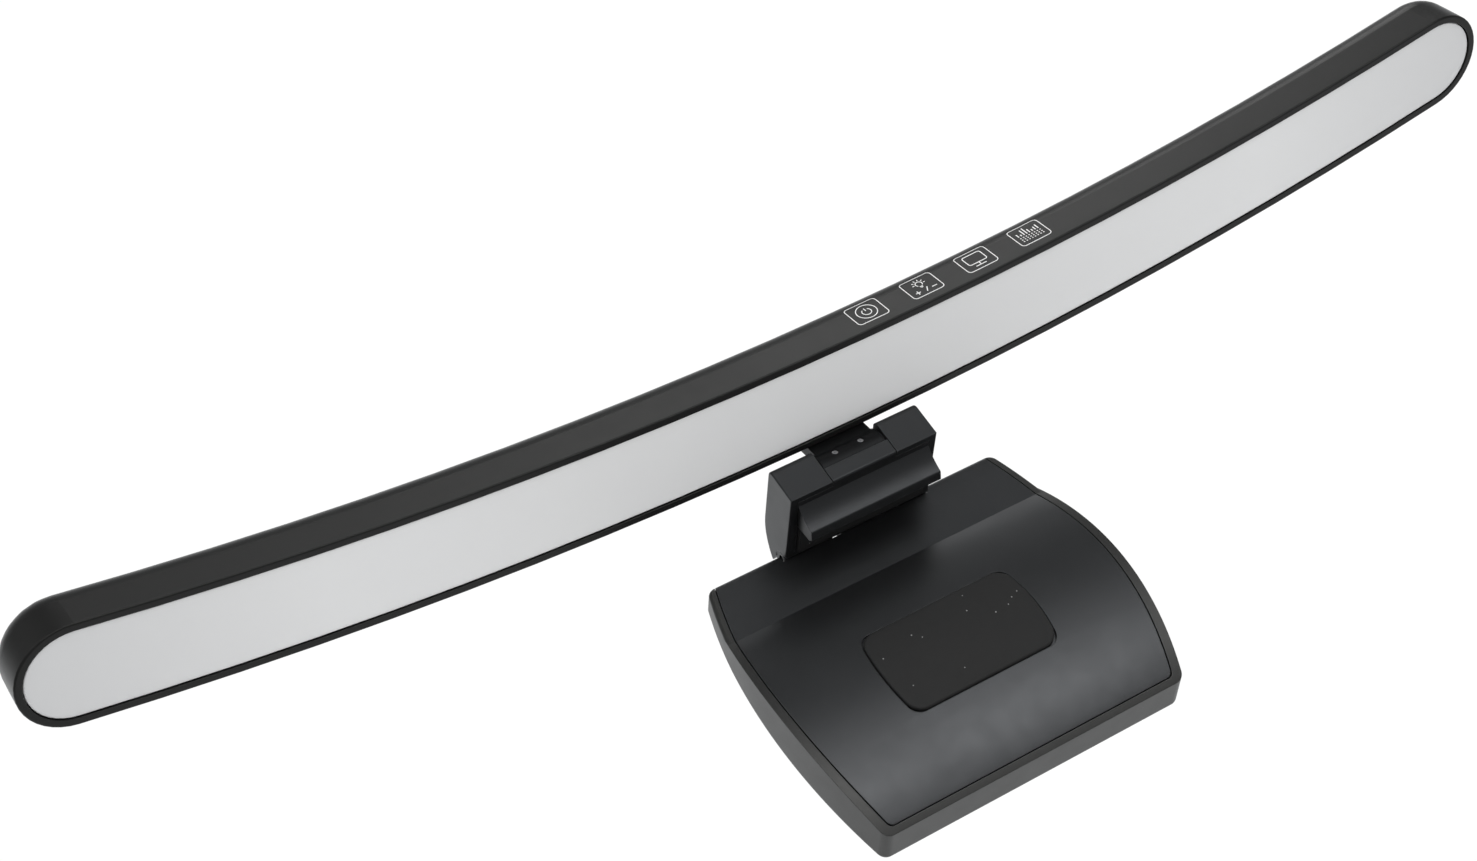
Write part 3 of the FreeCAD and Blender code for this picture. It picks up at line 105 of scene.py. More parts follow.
def noise(tree, size, detail=2.0, rough=0.5, where=None):
    """Noise whose features are about this many metres across, from 0 to 1."""
    inputs = {"Vector": where or place(tree), "Scale": 1.0 / size, "Detail": detail, "Roughness": rough}
    return add(tree, "TexNoise", inputs, "Fac")


def blend_values(tree, factor, low, high):
    """A number that runs from low to high as the factor runs from 0 to 1."""
    return add(tree, "MapRange", {"Value": factor, "To Min": low, "To Max": high}, "Result")


def pick_range(tree, value, start, end):
    """0 below start, 1 above end."""
    return add(tree, "MapRange", {"Value": value, "From Min": start, "From Max": end}, "Result")


def calc(tree, operation, a, b=0.0):
    return add(tree, "Math", {0: a, 1: b}, operation=operation)


def mix_colour(tree, factor, first, second):
    node = tree.nodes.new("ShaderNodeMix")
    node.data_type = "RGBA"
    socket_value(tree, node.inputs[0], factor)
    socket_value(tree, node.inputs[6], first)
    socket_value(tree, node.inputs[7], second)
    return node.outputs[2]


def bump(tree, height, depth, normal=None):
    """Bump whose full height is this many metres."""
    inputs = {"Height": height, "Distance": depth, "Strength": 1.0}
    if normal:
        inputs["Normal"] = normal
    return add(tree, "Bump", inputs, "Normal")


def soft_edges(tree, radius):
    """A shading normal that rounds every edge off by this radius."""
    return add(tree, "Bevel", {"Radius": radius}, "Normal", samples=4)


def edge_mask(tree, softened):
    """1 where the softened normal leaves the face's own, near an edge, and 0 on open faces."""
    flat = add(tree, "NewGeometry", output="Normal")
    aligned = add(tree, "VectorMath", {0: softened, 1: flat}, "Value", operation="DOT_PRODUCT")
    return pick_range(tree, calc(tree, "SUBTRACT", 1.0, aligned), 0.01, 0.16)


def grey(level, tint=(1.0, 1.0, 1.0)):
    return (level * tint[0], level * tint[1], level * tint[2], 1.0)


COOL = (0.96, 0.99, 1.03)      # tint of a faintly blue black
NEUTRAL = (1.0, 1.0, 0.98)
EDGE_RADIUS = 0.3 * MM         # shading round on the black plastic's edges
SPECK_PITCH = 2.2 * MM         # size of the cells that may each hold one dust speck
SPECK_SHARE = 0.09             # a speck's radius as a share of its cell
END_SHADE_FROM = 150 * MM           # distance from the middle where the painted shade on the diffuser begins
END_SHADE_TO = 228 * MM             # and where that painted shade is darkest
BRUSH_STRETCH = 0.05           # how far turning marks on metal are drawn out along X


# ---------------------------------------------------------------- materials

def textured_plastic(name, level, rough, shine=0.5, tint=COOL, grain=0.35 * MM, relief=0.008 * MM, dust=0.0):
    """Moulded black plastic with a spark-eroded grain, faint smears, slightly polished edges and a painted
    highlight along the edges.
    """
    material, tree = new_material(name)
    softened = soft_edges(tree, EDGE_RADIUS)
    edge_polish_and_highlight = edge_mask(tree, softened)
    patches = noise(tree, 22 * MM, 4.0, 0.6)
    streaks = noise(tree, 5 * MM, 3.0)
    colour = mix_colour(tree, patches, grey(level * 0.93, tint), grey(level * 1.07, tint))
    # painted highlight: the colour is lightened along every edge, standing in for light caught by the rounded
    # edges; the lower roughness there below is real polish
    colour = mix_colour(tree, calc(tree, "MULTIPLY", edge_polish_and_highlight, 0.6), colour, grey(level * 5.0, tint))
    if dust:
        colour = mix_colour(tree, dust_specks(tree, dust), colour, grey(0.3))
    roughness = blend_values(tree, patches, rough - 0.05, rough + 0.05)
    roughness = calc(tree, "ADD", roughness, blend_values(tree, streaks, -0.03, 0.03))
    roughness = calc(tree, "SUBTRACT", roughness, calc(tree, "MULTIPLY", edge_polish_and_highlight, 0.1))
    pits = add(tree, "TexVoronoi", {"Vector": place(tree), "Scale": 1.0 / grain}, "Distance",
               feature="SMOOTH_F1")
    fine = calc(tree, "ADD", calc(tree, "MULTIPLY", pits, 0.6), noise(tree, grain * 0.6, 3.0))
    shader = add(tree, "BsdfPrincipled", {
        "Base Color": colour,
        "Roughness": roughness,
        "IOR": 1.5,
        "Specular IOR Level": shine,
        "Specular Tint": grey(1.0, tint),
        "Normal": bump(tree, fine, relief, normal=softened),
    })
    finish_material(tree, shader)
    return material


def dust_specks(tree, amount):
    """A few pale specks: small cells of a Voronoi pattern, most of them switched off."""
    cells = tree.nodes.new("ShaderNodeTexVoronoi")
    socket_value(tree, cells.inputs["Vector"], place(tree))
    cells.inputs["Scale"].default_value = 1.0 / SPECK_PITCH
    near = calc(tree, "LESS_THAN", cells.outputs["Distance"], SPECK_SHARE)
    chance = add(tree, "SeparateColor", {"Color": cells.outputs["Color"]}, "Red")
    chosen = calc(tree, "LESS_THAN", chance, amount)
    return calc(tree, "MULTIPLY", near, chosen)


def silicone(name, level, rough):
    """Soft matt rubber that picks up dust."""
    material, tree = new_material(name)
    patches = noise(tree, 9 * MM, 4.0, 0.6)
    specks = dust_specks(tree, 0.2)
    colour = mix_colour(tree, patches, grey(level * 0.85), grey(level * 1.15))
    colour = mix_colour(tree, calc(tree, "MULTIPLY", specks, 0.8), colour, grey(0.4))
    skin = calc(tree, "ADD", noise(tree, 0.5 * MM, 3.0), calc(tree, "MULTIPLY", specks, 1.5))
    shader = add(tree, "BsdfPrincipled", {
        "Base Color": colour,
        "Roughness": blend_values(tree, patches, rough - 0.06, rough + 0.06),
        "IOR": 1.42,
        "Sheen Weight": 0.02,
        "Sheen Roughness": 0.4,
        "Normal": bump(tree, skin, 0.02 * MM),
    })
    finish_material(tree, shader)
    return material


def opal_plastic(name, level):
    """Milky diffuser: light sinks in, and a fine etched surface breaks up the shine. Its colour is darkened
    towards both ends as painted shade, and lightened along its edges as a painted highlight.
    """
    material, tree = new_material(name)
    clouds = noise(tree, 60 * MM, 2.0)
    milky = mix_colour(tree, clouds, grey(level * 0.985), grey(level, (1.0, 1.003, 1.008)))
    along = add(tree, "SeparateXYZ", {"Vector": place(tree)}, "X")
    # painted shade: the milky colour darkens towards both ends of the bar, to a dim bluish grey
    far_end = pick_range(tree, calc(tree, "ABSOLUTE", along), END_SHADE_FROM, END_SHADE_TO)
    painted_end_shade = calc(tree, "MULTIPLY", far_end, 0.25)
    body = mix_colour(tree, painted_end_shade, milky, grey(level * 0.3, (0.98, 1.0, 1.06)))
    softened = soft_edges(tree, 2 * EDGE_RADIUS)
    shader = add(tree, "BsdfPrincipled", {
        # painted highlight: the diffuser's edges are lightened almost to white
        "Base Color": mix_colour(tree, edge_mask(tree, softened), body, grey(0.96)),
        "Roughness": blend_values(tree, noise(tree, 12 * MM, 3.0), 0.42, 0.5),
        "IOR": 1.49,
        "Subsurface Weight": 0.25,
        "Subsurface Radius": (1.0, 1.0, 1.0),
        "Subsurface Scale": 1.2 * MM,
        "Normal": bump(tree, noise(tree, 0.25 * MM, 2.0), 0.003 * MM, normal=softened),
    })
    finish_material(tree, shader)
    return material


def metal(name, colour, rough):
    """Metal with fine turning marks and a little tarnish."""
    material, tree = new_material(name)
    stretched = add(tree, "Mapping", {"Vector": place(tree), "Scale": (BRUSH_STRETCH, 1.0, 1.0)})
    marks = noise(tree, 0.12 * MM, 2.0, where=stretched)
    tarnish = noise(tree, 3 * MM, 4.0, 0.6)
    darker = [c * 0.8 for c in colour]
    shader = add(tree, "BsdfPrincipled", {
        "Base Color": mix_colour(tree, tarnish, (*darker, 1.0), (*colour, 1.0)),
        "Metallic": 1.0,
        "Roughness": blend_values(tree, marks, rough - 0.08, rough + 0.1),
        "Normal": bump(tree, marks, 0.003 * MM),
    })
    finish_material(tree, shader)
    return material


def solder_mask(name, colour):
    """Circuit board lacquer over faint copper tracks."""
    material, tree = new_material(name)
    tracks = add(tree, "TexVoronoi", {"Vector": place(tree), "Scale": 1.0 / (1.6 * MM)}, "Distance",
                 distance="MANHATTAN")
    raised = pick_range(tree, tracks, 0.3, 0.36)
    lighter = [min(1.0, c * 1.35 + 0.01) for c in colour]
    shader = add(tree, "BsdfPrincipled", {
        "Base Color": mix_colour(tree, raised, (*lighter, 1.0), (*colour, 1.0)),
        "Roughness": blend_values(tree, noise(tree, 2 * MM), 0.25, 0.4),
        "Normal": bump(tree, raised, 0.02 * MM),
    })
    finish_material(tree, shader)
    return material


def plain_plastic(name, colour, rough, grain=0.3 * MM):
    """Light or coloured plastic with a faint grain and uneven shine."""
    material, tree = new_material(name)
    patches = noise(tree, 6 * MM, 4.0, 0.6)
    darker = [c * 0.93 for c in colour]
    shader = add(tree, "BsdfPrincipled", {
        "Base Color": mix_colour(tree, patches, (*darker, 1.0), (*colour, 1.0)),
        "Roughness": blend_values(tree, patches, rough - 0.05, rough + 0.05),
        "Normal": bump(tree, noise(tree, grain, 3.0), 0.006 * MM),
    })
    finish_material(tree, shader)
    return material


def foam(name):
    """Closed-cell foam, pitted all over."""
    material, tree = new_material(name)
    cells = add(tree, "TexVoronoi", {"Vector": place(tree), "Scale": 1.0 / (0.35 * MM)}, "Distance")
    shader = add(tree, "BsdfPrincipled", {
        "Base Color": mix_colour(tree, cells, grey(0.02), grey(0.08)),
        "Roughness": 0.95,
        "Normal": bump(tree, cells, 0.15 * MM),
    })
    finish_material(tree, shader)
    return material


def floor_finish():
    """Pale matt floor that is seen only from above, and never mirrored in the lamp."""
    material, tree = new_material("pale_floor")
    tint = mix_colour(tree, noise(tree, 80 * MM, 5.0), grey(0.80), grey(0.84))
    matt = add(tree, "BsdfPrincipled", {
        "Base Color": tint,
        "Roughness": 0.7,
        "Emission Color": grey(1.0),
        "Emission Strength": 0.35,
    })
    clear = add(tree, "BsdfTransparent")
    below = add(tree, "NewGeometry", output="Backfacing")
    mirrored = add(tree, "LightPath", output="Is Glossy Ray")
    unseen = calc(tree, "MAXIMUM", below, mirrored)
    finish_material(tree, add(tree, "MixShader", {0: unseen, 1: matt, 2: clear}))
    return material


def dress(nodes, material):
    """Give CAD nodes one material."""
    for name in nodes:
        slots = frame["nodes"][name].data.materials
        slots.clear()
        slots.append(material)


def dress_frame():
    """Give every CAD node its material."""
    dress(["bar_housing"], textured_plastic("bar_black_abs", 0.008, 0.36, shine=0.22, tint=NEUTRAL))
    dress(["clamp_housing", "clamp_jaw"], textured_plastic("clamp_black_abs", 0.008, 0.42, shine=0.42))
    # painted shade: the arm gets a darker black and weaker shine than the other plastic, for the deep shaded
    # place under the bar where it sits
    dress(["tilt_arm"], textured_plastic("arm_black_painted_shade", 0.003, 0.4, shine=0.12))
    dress(["weight_tray"], textured_plastic("tray_black_abs", 0.013, 0.42, tint=NEUTRAL))
    dress(["weight_cover"], textured_plastic("cover_black_abs", 0.010, 0.36, dust=0.006))
    dress(["front_diffuser", "ambient_diffusers"], opal_plastic("opal_polycarbonate", 0.68))
    dress(["reflector_tray"], plain_plastic("white_reflector", (0.86, 0.86, 0.85), 0.5))
    dress(["led_board"], solder_mask("white_solder_mask", (0.8, 0.8, 0.78)))
    dress(["touch_board", "control_board", "ambient_boards"],
          solder_mask("green_solder_mask", (0.02, 0.12, 0.05)))
    dress(["led_chips", "ambient_leds"], plain_plastic("phosphor_gel", (0.85, 0.7, 0.25), 0.3))
    dress(["touch_electrodes"], metal("copper_foil", (0.8, 0.45, 0.3), 0.35))
    dress(["microphone", "usb_c_socket"], metal("nickel_plate", (0.62, 0.6, 0.57), 0.3))
    dress(["tilt_pin", "swing_pin"], metal("ground_steel", (0.6, 0.6, 0.6), 0.25))
    dress(["friction_sleeve"], metal("sleeve_steel", (0.5, 0.5, 0.5), 0.4))
    dress(["steel_slab"], metal("phosphated_steel", (0.3, 0.3, 0.31), 0.55))
    dress(["jaw_screws", "arm_screws", "cover_screws"], metal("black_zinc", (0.07, 0.07, 0.075), 0.4))
    dress(["set_screws"], metal("bright_set_screws", (0.45, 0.45, 0.46), 0.35))
    dress(["tilt_washers", "swing_washers"], plain_plastic("black_acetal", (0.02, 0.02, 0.022), 0.35))


# ---------------------------------------------------------------- mesh helpers

def new_piece(name, points, faces, material, smooth=True):
    """A mesh object made from points and faces, in one material."""
    mesh = bpy.data.meshes.new(name)
    mesh.from_pydata(points, [], faces)
    mesh.validate()
    mesh.materials.append(material)
    for polygon in mesh.polygons:
        polygon.use_smooth = smooth
    piece = bpy.data.objects.new(name, mesh)
    bpy.context.scene.collection.objects.link(piece)
    return piece


def surface_of(node):
    """A search tree over a CAD node's faces."""
    mesh = frame["nodes"][node].data
    return BVHTree.FromPolygons([v.co for v in mesh.vertices], [p.vertices for p in mesh.polygons])


def bar_to_frame(direction):
    """A direction in the level bar's own axes, turned by the bar's resting tilt."""
    return Matrix.Rotation(-REST_TILT, 3, "X") @ Vector(direction)


# ---------------------------------------------------------------- printed touch keys

KEY_FIRST = 16.2 * MM          # X of the first key
KEY_PITCH = 18.3 * MM
KEY_WIDTH = 10.0 * MM
KEY_HEIGHT = 8.4 * MM
KEY_LEVEL = 7.4 * MM           # middle of the keys above the diffuser's rim
RIM_ABOVE_AXIS = 5.5 * MM
PRINT_THICK = 0.03 * MM
PRINT_SINK = 0.02 * MM
KEY_CORNER = 1.1 * MM
WALL_STANDOFF = 60 * MM        # how far in front of the bar the search for its wall starts
WALL_SEARCH = 100 * MM
LINE = 0.26 * MM


def arc(centre, radius, start, end, steps=24):
    """Points round an arc, in degrees counterclockwise."""
    turn = math.radians(end - start) / steps
    begin = math.radians(start)
    return [(centre[0] + radius * math.cos(begin + turn * i), centre[1] + radius * math.sin(begin + turn * i))
            for i in range(steps + 1)]


def rounded_box(width, height, radius, middle=(0.0, 0.0)):
    """Closed outline of a box with round corners."""
    x, y = width / 2 - radius, height / 2 - radius
    corners = ((x, y, 0), (-x, y, 90), (-x, -y, 180), (x, -y, 270))
    return [p for cx, cy, start in corners
            for p in arc((middle[0] + cx, middle[1] + cy), radius, start, start + 90, 6)]


def densify(path, step=0.35 * MM):
    """Add points so that no stretch is longer than a step."""
    dense = [path[0]]
    for (x0, y0), (x1, y1) in zip(path, path[1:]):
        pieces = max(1, math.ceil(math.hypot(x1 - x0, y1 - y0) / step))
        dense += [(x0 + (x1 - x0) * i / pieces, y0 + (y1 - y0) * i / pieces) for i in range(1, pieces + 1)]
    return dense


def ribbon_sides(path, width, closed):
    """Left and right edges of a line of some width drawn along a path."""
    sides = []
    count = len(path)
    for i, (x, y) in enumerate(path):
        before = path[(i - 1) % count] if closed or i else path[0]
        after = path[(i + 1) % count] if closed or i < count - 1 else path[-1]
        dx, dy = after[0] - before[0], after[1] - before[1]
        length = math.hypot(dx, dy) or 1.0
        across = (-dy / length * width / 2, dx / length * width / 2)
        sides.append(((x + across[0], y + across[1]), (x - across[0], y - across[1])))
    return sides


class KeyPrint:
    """Thin solid ink lines laid on the bar's front wall round one key's middle."""

    def __init__(self, surface, x):
        self.surface = surface
        self.points = []
        self.faces = []
        self.along = Vector((1, 0, 0))
        self.up = bar_to_frame((0, 0, 1))
        self.inward = bar_to_frame((0, 1, 0))
        level = RIM_ABOVE_AXIS + KEY_LEVEL
        self.middle = TILT_AXIS + bar_to_frame((0, -WALL_STANDOFF, level)) + self.along * x

    def on_wall(self, u, v):
        """The wall's point and outward normal at an offset from the key's middle."""
        start = self.middle + self.along * u + self.up * v
        return self.surface.ray_cast(start, self.inward, WALL_SEARCH)[:2]

    def draw(self, path, closed=False, width=LINE):
        """Lay one line of ink along a path, as a thin bar sunk into the wall."""
        path = densify(path + path[:1] if closed else path)
        if closed:
            path = path[:-1]
        first = len(self.points)
        for left, right in ribbon_sides(path, width, closed):
            (a, na), (b, nb) = self.on_wall(*left), self.on_wall(*right)
            self.points += [a + na * PRINT_THICK, b + nb * PRINT_THICK]
            self.points += [b - nb * PRINT_SINK, a - na * PRINT_SINK]
        count = len(path)
        for i in range(count if closed else count - 1):
            here, there = first + 4 * i, first + 4 * ((i + 1) % count)
            for j in range(4):
                k = (j + 1) % 4
                self.faces.append((here + j, here + k, there + k, there + j))
        if not closed:
            last = first + 4 * (count - 1)
            self.faces.append((first + 3, first + 2, first + 1, first))
            self.faces.append((last, last + 1, last + 2, last + 3))

    def dot(self, u, v, size=0.38 * MM):
        """A square dot."""
        self.draw([(u - size / 2, v), (u + size / 2, v)], width=size)

    def piece(self, name, material):
        return new_piece(name, self.points, self.faces, material, smooth=False)


def draw_power(ink):
    """A ring round a generic power mark."""
    ink.draw(arc((0, 0), 3.0 * MM, 0, 360, 48)[:-1], closed=True)
    ink.draw(arc((0, -0.1 * MM), 1.35 * MM, 125, 415, 30), width=0.26 * MM)
    ink.draw([(0, 0.35 * MM), (0, 1.6 * MM)], width=0.26 * MM)


def draw_brightness(ink):
    """A bulb with rays above a plus, a stroke and a minus."""
    bulb = Vector((-0.2 * MM, 1.1 * MM))
    ink.draw(arc(bulb, 1.0 * MM, -50, 230, 24))
    for half, drop in ((0.5 * MM, 1.25 * MM), (0.3 * MM, 1.7 * MM)):
        ink.draw([(bulb.x - half, bulb.y - drop), (bulb.x + half, bulb.y - drop)], width=0.3 * MM)
    for turn in range(0, 181, 36):
        ray = Vector((math.cos(math.radians(turn)), math.sin(math.radians(turn))))
        ink.draw([tuple(bulb + ray * 1.45 * MM), tuple(bulb + ray * 2.05 * MM)])
    strokes = (((-3.4, -2.2), (-1.8, -2.2)), ((-2.6, -3.0), (-2.6, -1.4)),
               ((-0.1, -3.0), (0.9, -1.2)), ((2.0, -2.2), (3.6, -2.2)))
    for start, end in strokes:
        ink.draw([(start[0] * MM, start[1] * MM), (end[0] * MM, end[1] * MM)], width=0.3 * MM)


def draw_monitor(ink):
    """A screen on its stand."""
    ink.draw(rounded_box(6.0 * MM, 4.2 * MM, 0.7 * MM, (0, 0.7 * MM)), closed=True, width=0.3 * MM)
    ink.draw([(0, -1.4 * MM), (0, -2.7 * MM)], width=0.3 * MM)
    ink.draw([(-1.7 * MM, -2.7 * MM), (1.7 * MM, -2.7 * MM)], width=0.3 * MM)


def draw_equaliser(ink):
    """Level bars above three rows of dots."""
    heights = (1.5, 0.8, 2.6, 3.0, 1.7, 0.9, 1.5, 2.0)
    pitch = 0.95 * MM
    for i, height in enumerate(heights):
        u = (i - (len(heights) - 1) / 2) * pitch
        ink.draw([(u, 0.1 * MM), (u, (0.1 + height) * MM)], width=0.34 * MM)
        for row in range(3):
            ink.dot(u, (-0.7 - 0.85 * row) * MM)


def make_key_prints():
    """The four keys' frames and pictograms, left to right."""
    ink = plain_plastic("white_ink", (0.9, 0.9, 0.89), 0.5, grain=0.1 * MM)
    wall = surface_of("bar_housing")
    drawings = (("power_key_print", draw_power), ("brightness_key_print", draw_brightness),
                ("screen_key_print", draw_monitor), ("equaliser_key_print", draw_equaliser))
    for index, (name, draw) in enumerate(drawings):
        key = KeyPrint(wall, KEY_FIRST + index * KEY_PITCH)
        key.draw(rounded_box(KEY_WIDTH, KEY_HEIGHT, KEY_CORNER), closed=True)
        draw(key)
        piece = key.piece(name, ink)
        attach(piece, "light_head")


# ---------------------------------------------------------------- soft pieces

def inset_loop(loop, depth):
    """A closed loop, counterclockwise, drawn in by a depth along its own normals."""
    drawn_in = []
    count = len(loop)
    for i, (x, y) in enumerate(loop):
        before, after = loop[i - 1], loop[(i + 1) % count]
        dx, dy = after[0] - before[0], after[1] - before[1]
        length = math.hypot(dx, dy)
        drawn_in.append((x - dy / length * depth, y + dx / length * depth))
    return drawn_in


def loft(name, rings, material, start_point=None, end_point=None):
    """A closed solid through rings of equal length, ended by flat faces or by fans to a point."""
    count = len(rings[0])
    points = [p for ring in rings for p in ring]
    faces = []
    for r in range(len(rings) - 1):
        for i in range(count):
            a, b = r * count + i, r * count + (i + 1) % count
            faces.append((a, b, b + count, a + count))
    last = (len(rings) - 1) * count
    if start_point:
        points.append(start_point)
        faces += [(len(points) - 1, (i + 1) % count, i) for i in range(count)]
    else:
        faces.append(tuple(reversed(range(count))))
    if end_point:
        points.append(end_point)
        faces += [(last + i, last + (i + 1) % count, len(points) - 1) for i in range(count)]
    else:
        faces.append(tuple(range(last, last + count)))
    return new_piece(name, points, faces, material)


GRIP_HALF = 23.4 * MM          # half width at the corners, before the ends bow out
GRIP_REACH = 13.65 * MM        # half height
GRIP_CORNER = 4.0 * MM
GRIP_BOW = 1.6 * MM
GRIP_MIDDLE = -50.5 * MM       # below the swing axis
GRIP_PROUD = 0.7 * MM
GRIP_SUNK = 0.9 * MM
GRIP_ROLL = 0.55 * MM          # rolled edge
ARCH_RADIUS = 100 * MM
ARCH_CENTRE = Vector((0.0, 94.54 * MM, -47.62 * MM))    # from the swing axis


def on_arch(x, z, height):
    """A point above the counterweight's arched front."""
    centre = SWING_AXIS + ARCH_CENTRE
    drop = (SWING_AXIS.z + z) - centre.z
    reach = math.sqrt((ARCH_RADIUS + height) ** 2 - drop ** 2)
    return (x, centre.y - reach, centre.z + drop)


def grip_loop(inset):
    """The pad's outline at an inset, with bowed ends, as seen from the front."""
    reach = GRIP_REACH - inset
    box = rounded_box(2 * (GRIP_HALF - inset), 2 * reach, GRIP_CORNER - inset)
    loop = densify(box + box[:1], 1.5 * MM)[:-1]
    return [(x + math.copysign(GRIP_BOW * (1 - (z / GRIP_REACH) ** 2), x) * min(1.0, abs(x) / GRIP_HALF), z)
            for x, z in loop]


def make_grip_pad(rubber):
    """A soft pad with a rolled edge, let into the counterweight's front."""
    rings = []
    core = grip_loop(GRIP_ROLL)
    full = grip_loop(0.0)

    def ring(loop, height, scale=1.0):
        rings.append([on_arch(x * scale, GRIP_MIDDLE + z * scale, height) for x, z in loop])

    for step in range(1, 9):
        ring(core, -GRIP_SUNK, step / 8)
    ring(inset_loop(full, 0.05 * MM), -GRIP_SUNK)
    ring(full, -GRIP_SUNK + 0.1 * MM)
    for step in range(7):
        turn = math.radians(90 * step / 6)
        depth = GRIP_ROLL * (1 - math.cos(turn))
        ring(inset_loop(full, depth), GRIP_PROUD - GRIP_ROLL + GRIP_ROLL * math.sin(turn))
    for step in range(14, 0, -1):
        ring(inset_loop(full, GRIP_ROLL), GRIP_PROUD, step / 15)
    ends = [on_arch(0.0, GRIP_MIDDLE, height) for height in (-GRIP_SUNK, GRIP_PROUD)]
    pad = loft("grip_pad_skin", rings, rubber, *ends)
    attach(pad, "counterweight")
    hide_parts("grip_pad")


LIP_HALF = 20.8 * MM
LIP_CORNER = 0.28 * MM         # rounding of the pad's section
LIP_ROLL = 0.2 * MM            # rounding of the pad's two ends
# The pad's section in millimetres, as (Y, Z) corners: down the hook, along the seat and back.
LIP_PROFILE = ((-1.0, -4.7), (0.0, -4.1), (0.0, 0.0), (10.0, 0.0), (10.0, 1.2), (-1.0, 1.2))


def round_loop(corners, radius, steps=5):
    """Round a polygon's corners with short curves."""
    loop = []
    count = len(corners)
    for i, corner in enumerate(corners):
        here = Vector(corner)
        to_before = (Vector(corners[i - 1]) - here).normalized() * radius
        to_after = (Vector(corners[(i + 1) % count]) - here).normalized() * radius
        for step in range(steps + 1):
            t = step / steps
            loop.append(tuple(here + to_before * (1 - t) ** 2 + to_after * t ** 2))
    return loop


def make_lip_pad(rubber):
    """An L-shaped lining with soft edges for the hook's inner face and the seat."""
    profile = round_loop([(y * MM, z * MM) for y, z in LIP_PROFILE], LIP_CORNER)
    rings = []
    for side in (-1, 1):
        turns = [math.radians(90 * step / 4) for step in range(5)]
        for turn in turns if side < 0 else reversed(turns):
            x = side * (LIP_HALF - LIP_ROLL + LIP_ROLL * math.cos(turn))
            depth = LIP_ROLL * (1 - math.sin(turn))
            rings.append([(x, y, z) for y, z in inset_loop(profile, depth)])
    pad = loft("lip_pad_skin", rings, rubber)
    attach(pad, "clamp")
    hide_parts("lip_pad")


FOAM_PLACE = Vector((0.0, 1.1 * MM, -55 * MM))    # the slab's middle front, from the swing axis
FOAM_LEAN = math.radians(6.2)
FOAM_SIZE = (60 * MM, 12 * MM)
FOAM_CORNER = 0.6 * MM
FOAM_THICK = 0.7 * MM
FOAM_SQUEEZE = 0.15 * MM
SLAB_THICK = 5.0 * MM


def make_slab_foam():
    """The foam tape behind the slab, with slightly squeezed sides."""
    loop = rounded_box(*FOAM_SIZE, FOAM_CORNER)
    loop = densify(loop + loop[:1], 2 * MM)[:-1]
    lean = Matrix.Rotation(FOAM_LEAN, 3, "X")
    rings = []
    for step in range(7):
        share = step / 6
        squeeze = FOAM_SQUEEZE * (2 * share - 1) ** 2
        depth = SLAB_THICK + FOAM_THICK * share
        rings.append([tuple(SWING_AXIS + FOAM_PLACE + lean @ Vector((x, depth, z)))
                      for x, z in inset_loop(loop, squeeze)])
    strip = loft("slab_foam_strip", rings[::-1], foam("closed_cell_foam"))
    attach(strip, "counterweight")
    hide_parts("slab_foam")


# ---------------------------------------------------------------- studio

SENSOR = 36.0
LENS = 67.2081                 # focal length in mm on that sensor: a short telephoto view
CAMERA_PLACE = (-0.30846, -0.58658, -0.36826)
CAMERA_TURN = (128.752, 32.590, -3.097)
FLOOR_BELOW = 0.03             # gap between the lamp and the floor
FLOOR_REACH = 3.0


def make_camera():
    """Camera below and in front, to the left, rolled as when the lamp lies on its back."""
    data = bpy.data.cameras.new("camera")
    data.sensor_width = SENSOR
    data.lens = LENS
    data.clip_start = 0.01
    camera = bpy.data.objects.new("camera", data)
    camera.location = CAMERA_PLACE
    camera.rotation_euler = [math.radians(angle) for angle in CAMERA_TURN]
    bpy.context.scene.collection.objects.link(camera)
    bpy.context.scene.camera = camera
    return camera


def area_light(name, place_at, target, size, power):
    """A white soft box that faces its target and is unseen by the camera."""
    data = bpy.data.lights.new(name, "AREA")
    data.shape = "RECTANGLE"
    data.size, data.size_y = size
    data.energy = power
    light = bpy.data.objects.new(name, data)
    light.location = place_at
    light.rotation_euler = (target - place_at).to_track_quat("-Z", "Y").to_euler()
    light.visible_camera = False
    bpy.context.scene.collection.objects.link(light)


def camera_axes(camera):
    """The camera's right, up and backward directions."""
    turn = camera.rotation_euler.to_matrix()
    return turn @ Vector((1, 0, 0)), turn @ Vector((0, 1, 0)), turn @ Vector((0, 0, 1))


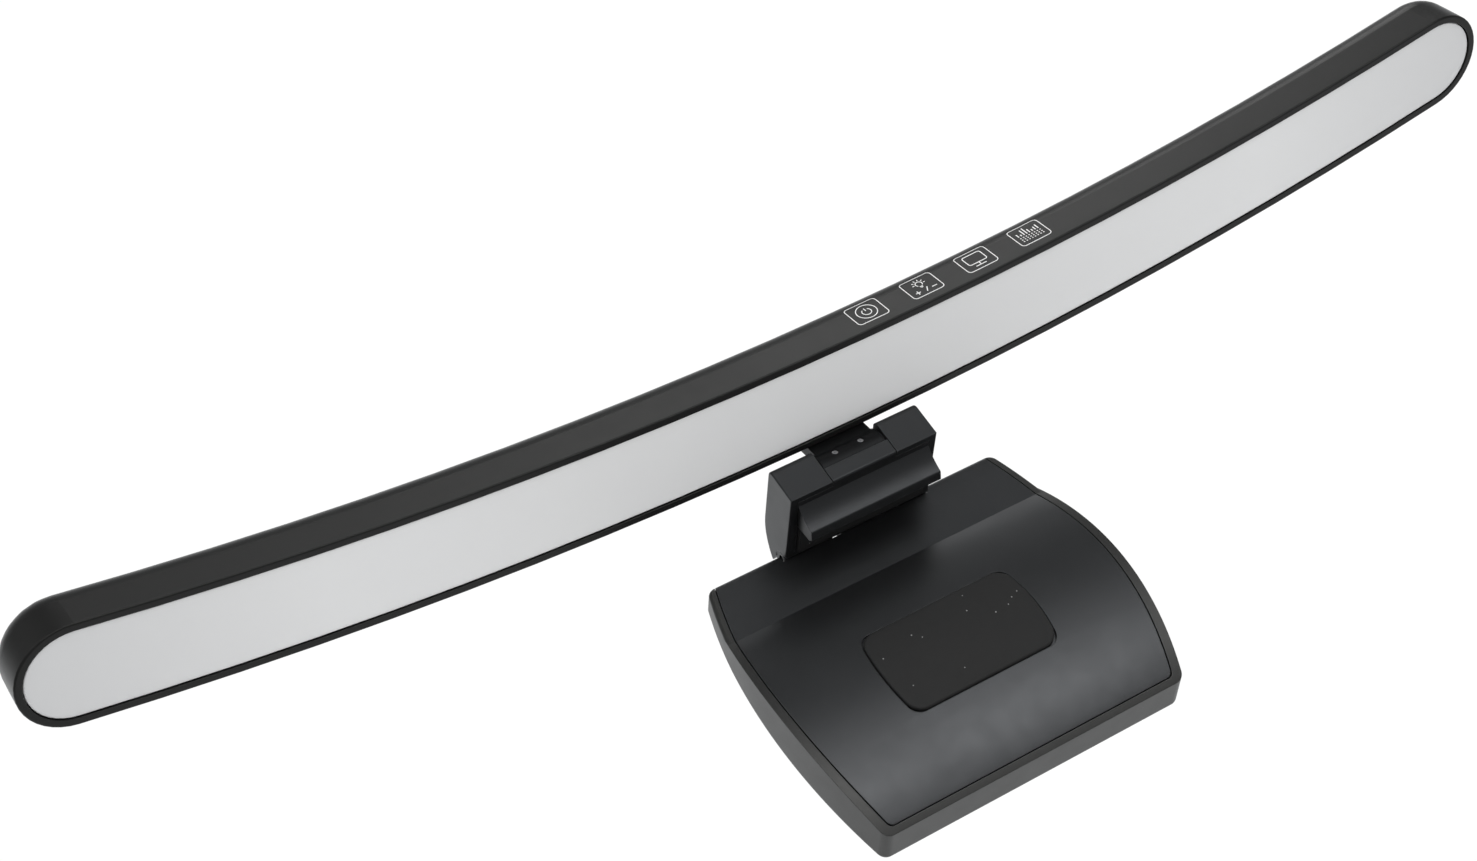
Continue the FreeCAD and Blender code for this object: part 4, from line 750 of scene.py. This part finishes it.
def make_lights(camera):
    """Soft boxes set about the camera's own axes: over its shoulders, overhead and on its left."""
    right, up, back = camera_axes(camera)
    middle = Vector((0.0, -0.01, 0.0))
    area_light("overhead_softbox", middle + up * 0.8 + back * 1.0 + right * 0.1, middle, (1.5, 0.8), 9.0)
    area_light("front_softbox", middle + up * 0.65 + back * 0.65 + right * 0.5, middle, (0.45, 0.3), 2.0)
    area_light("top_strip", middle + up * 1.25 - back * 0.3 - right * 0.1, middle, (1.2, 0.25), 3.0)
    area_light("left_softbox", middle - right * 1.1 + up * 0.6 + back * 0.6, middle, (0.8, 0.8), 2.2)


SURROUND_LOW = 0.32            # light from the dim side of the room
SURROUND_HIGH = 1.3            # and from the sweep
BACKDROP = 1.02                # what the camera sees behind the lamp


def make_world(camera):
    """A white sweep below and beyond the lamp, a dimmer room above it, plain white to the camera."""
    _, up, back = camera_axes(camera)
    world = bpy.data.worlds.new("studio")
    world.use_nodes = True
    tree = world.node_tree
    tree.nodes.clear()
    sweep = (-up * 0.5 - back * 0.85).normalized()
    direction = add(tree, "TexCoord", output="Generated")
    facing = add(tree, "VectorMath", {0: direction, 1: sweep}, "Value", operation="DOT_PRODUCT")
    share = add(tree, "MapRange", {"Value": facing, "From Min": 0.1, "From Max": 0.8,
                                   "To Min": SURROUND_LOW, "To Max": SURROUND_HIGH},
                "Result", interpolation_type="SMOOTHSTEP")
    backdrop = add(tree, "Background", {"Color": (1, 1, 1, 1), "Strength": BACKDROP})
    ambient = add(tree, "Background", {"Color": (0.975, 0.99, 1.0, 1), "Strength": share})
    seen = add(tree, "LightPath", output="Is Camera Ray")
    shader = add(tree, "MixShader", {0: seen, 1: ambient, 2: backdrop})
    output = tree.nodes.new("ShaderNodeOutputWorld")
    tree.links.new(shader, output.inputs["Surface"])
    bpy.context.scene.world = world


def make_floor():
    """One large square below the lamp."""
    low, _ = cad_box
    level = low.z - FLOOR_BELOW
    corners = [(x * FLOOR_REACH, y * FLOOR_REACH, level) for x, y in ((-1, -1), (1, -1), (1, 1), (-1, 1))]
    floor = new_piece("floor", corners, [(0, 1, 2, 3)], floor_finish(), smooth=False)


dress_frame()
make_key_prints()
soft_rubber = silicone("soft_silicone", 0.011, 0.66)
make_grip_pad(soft_rubber)
make_lip_pad(soft_rubber)
make_slab_foam()
studio_camera = make_camera()
make_world(studio_camera)
make_floor()
make_lights(studio_camera)
bpy.context.scene.view_settings.view_transform = "Standard"
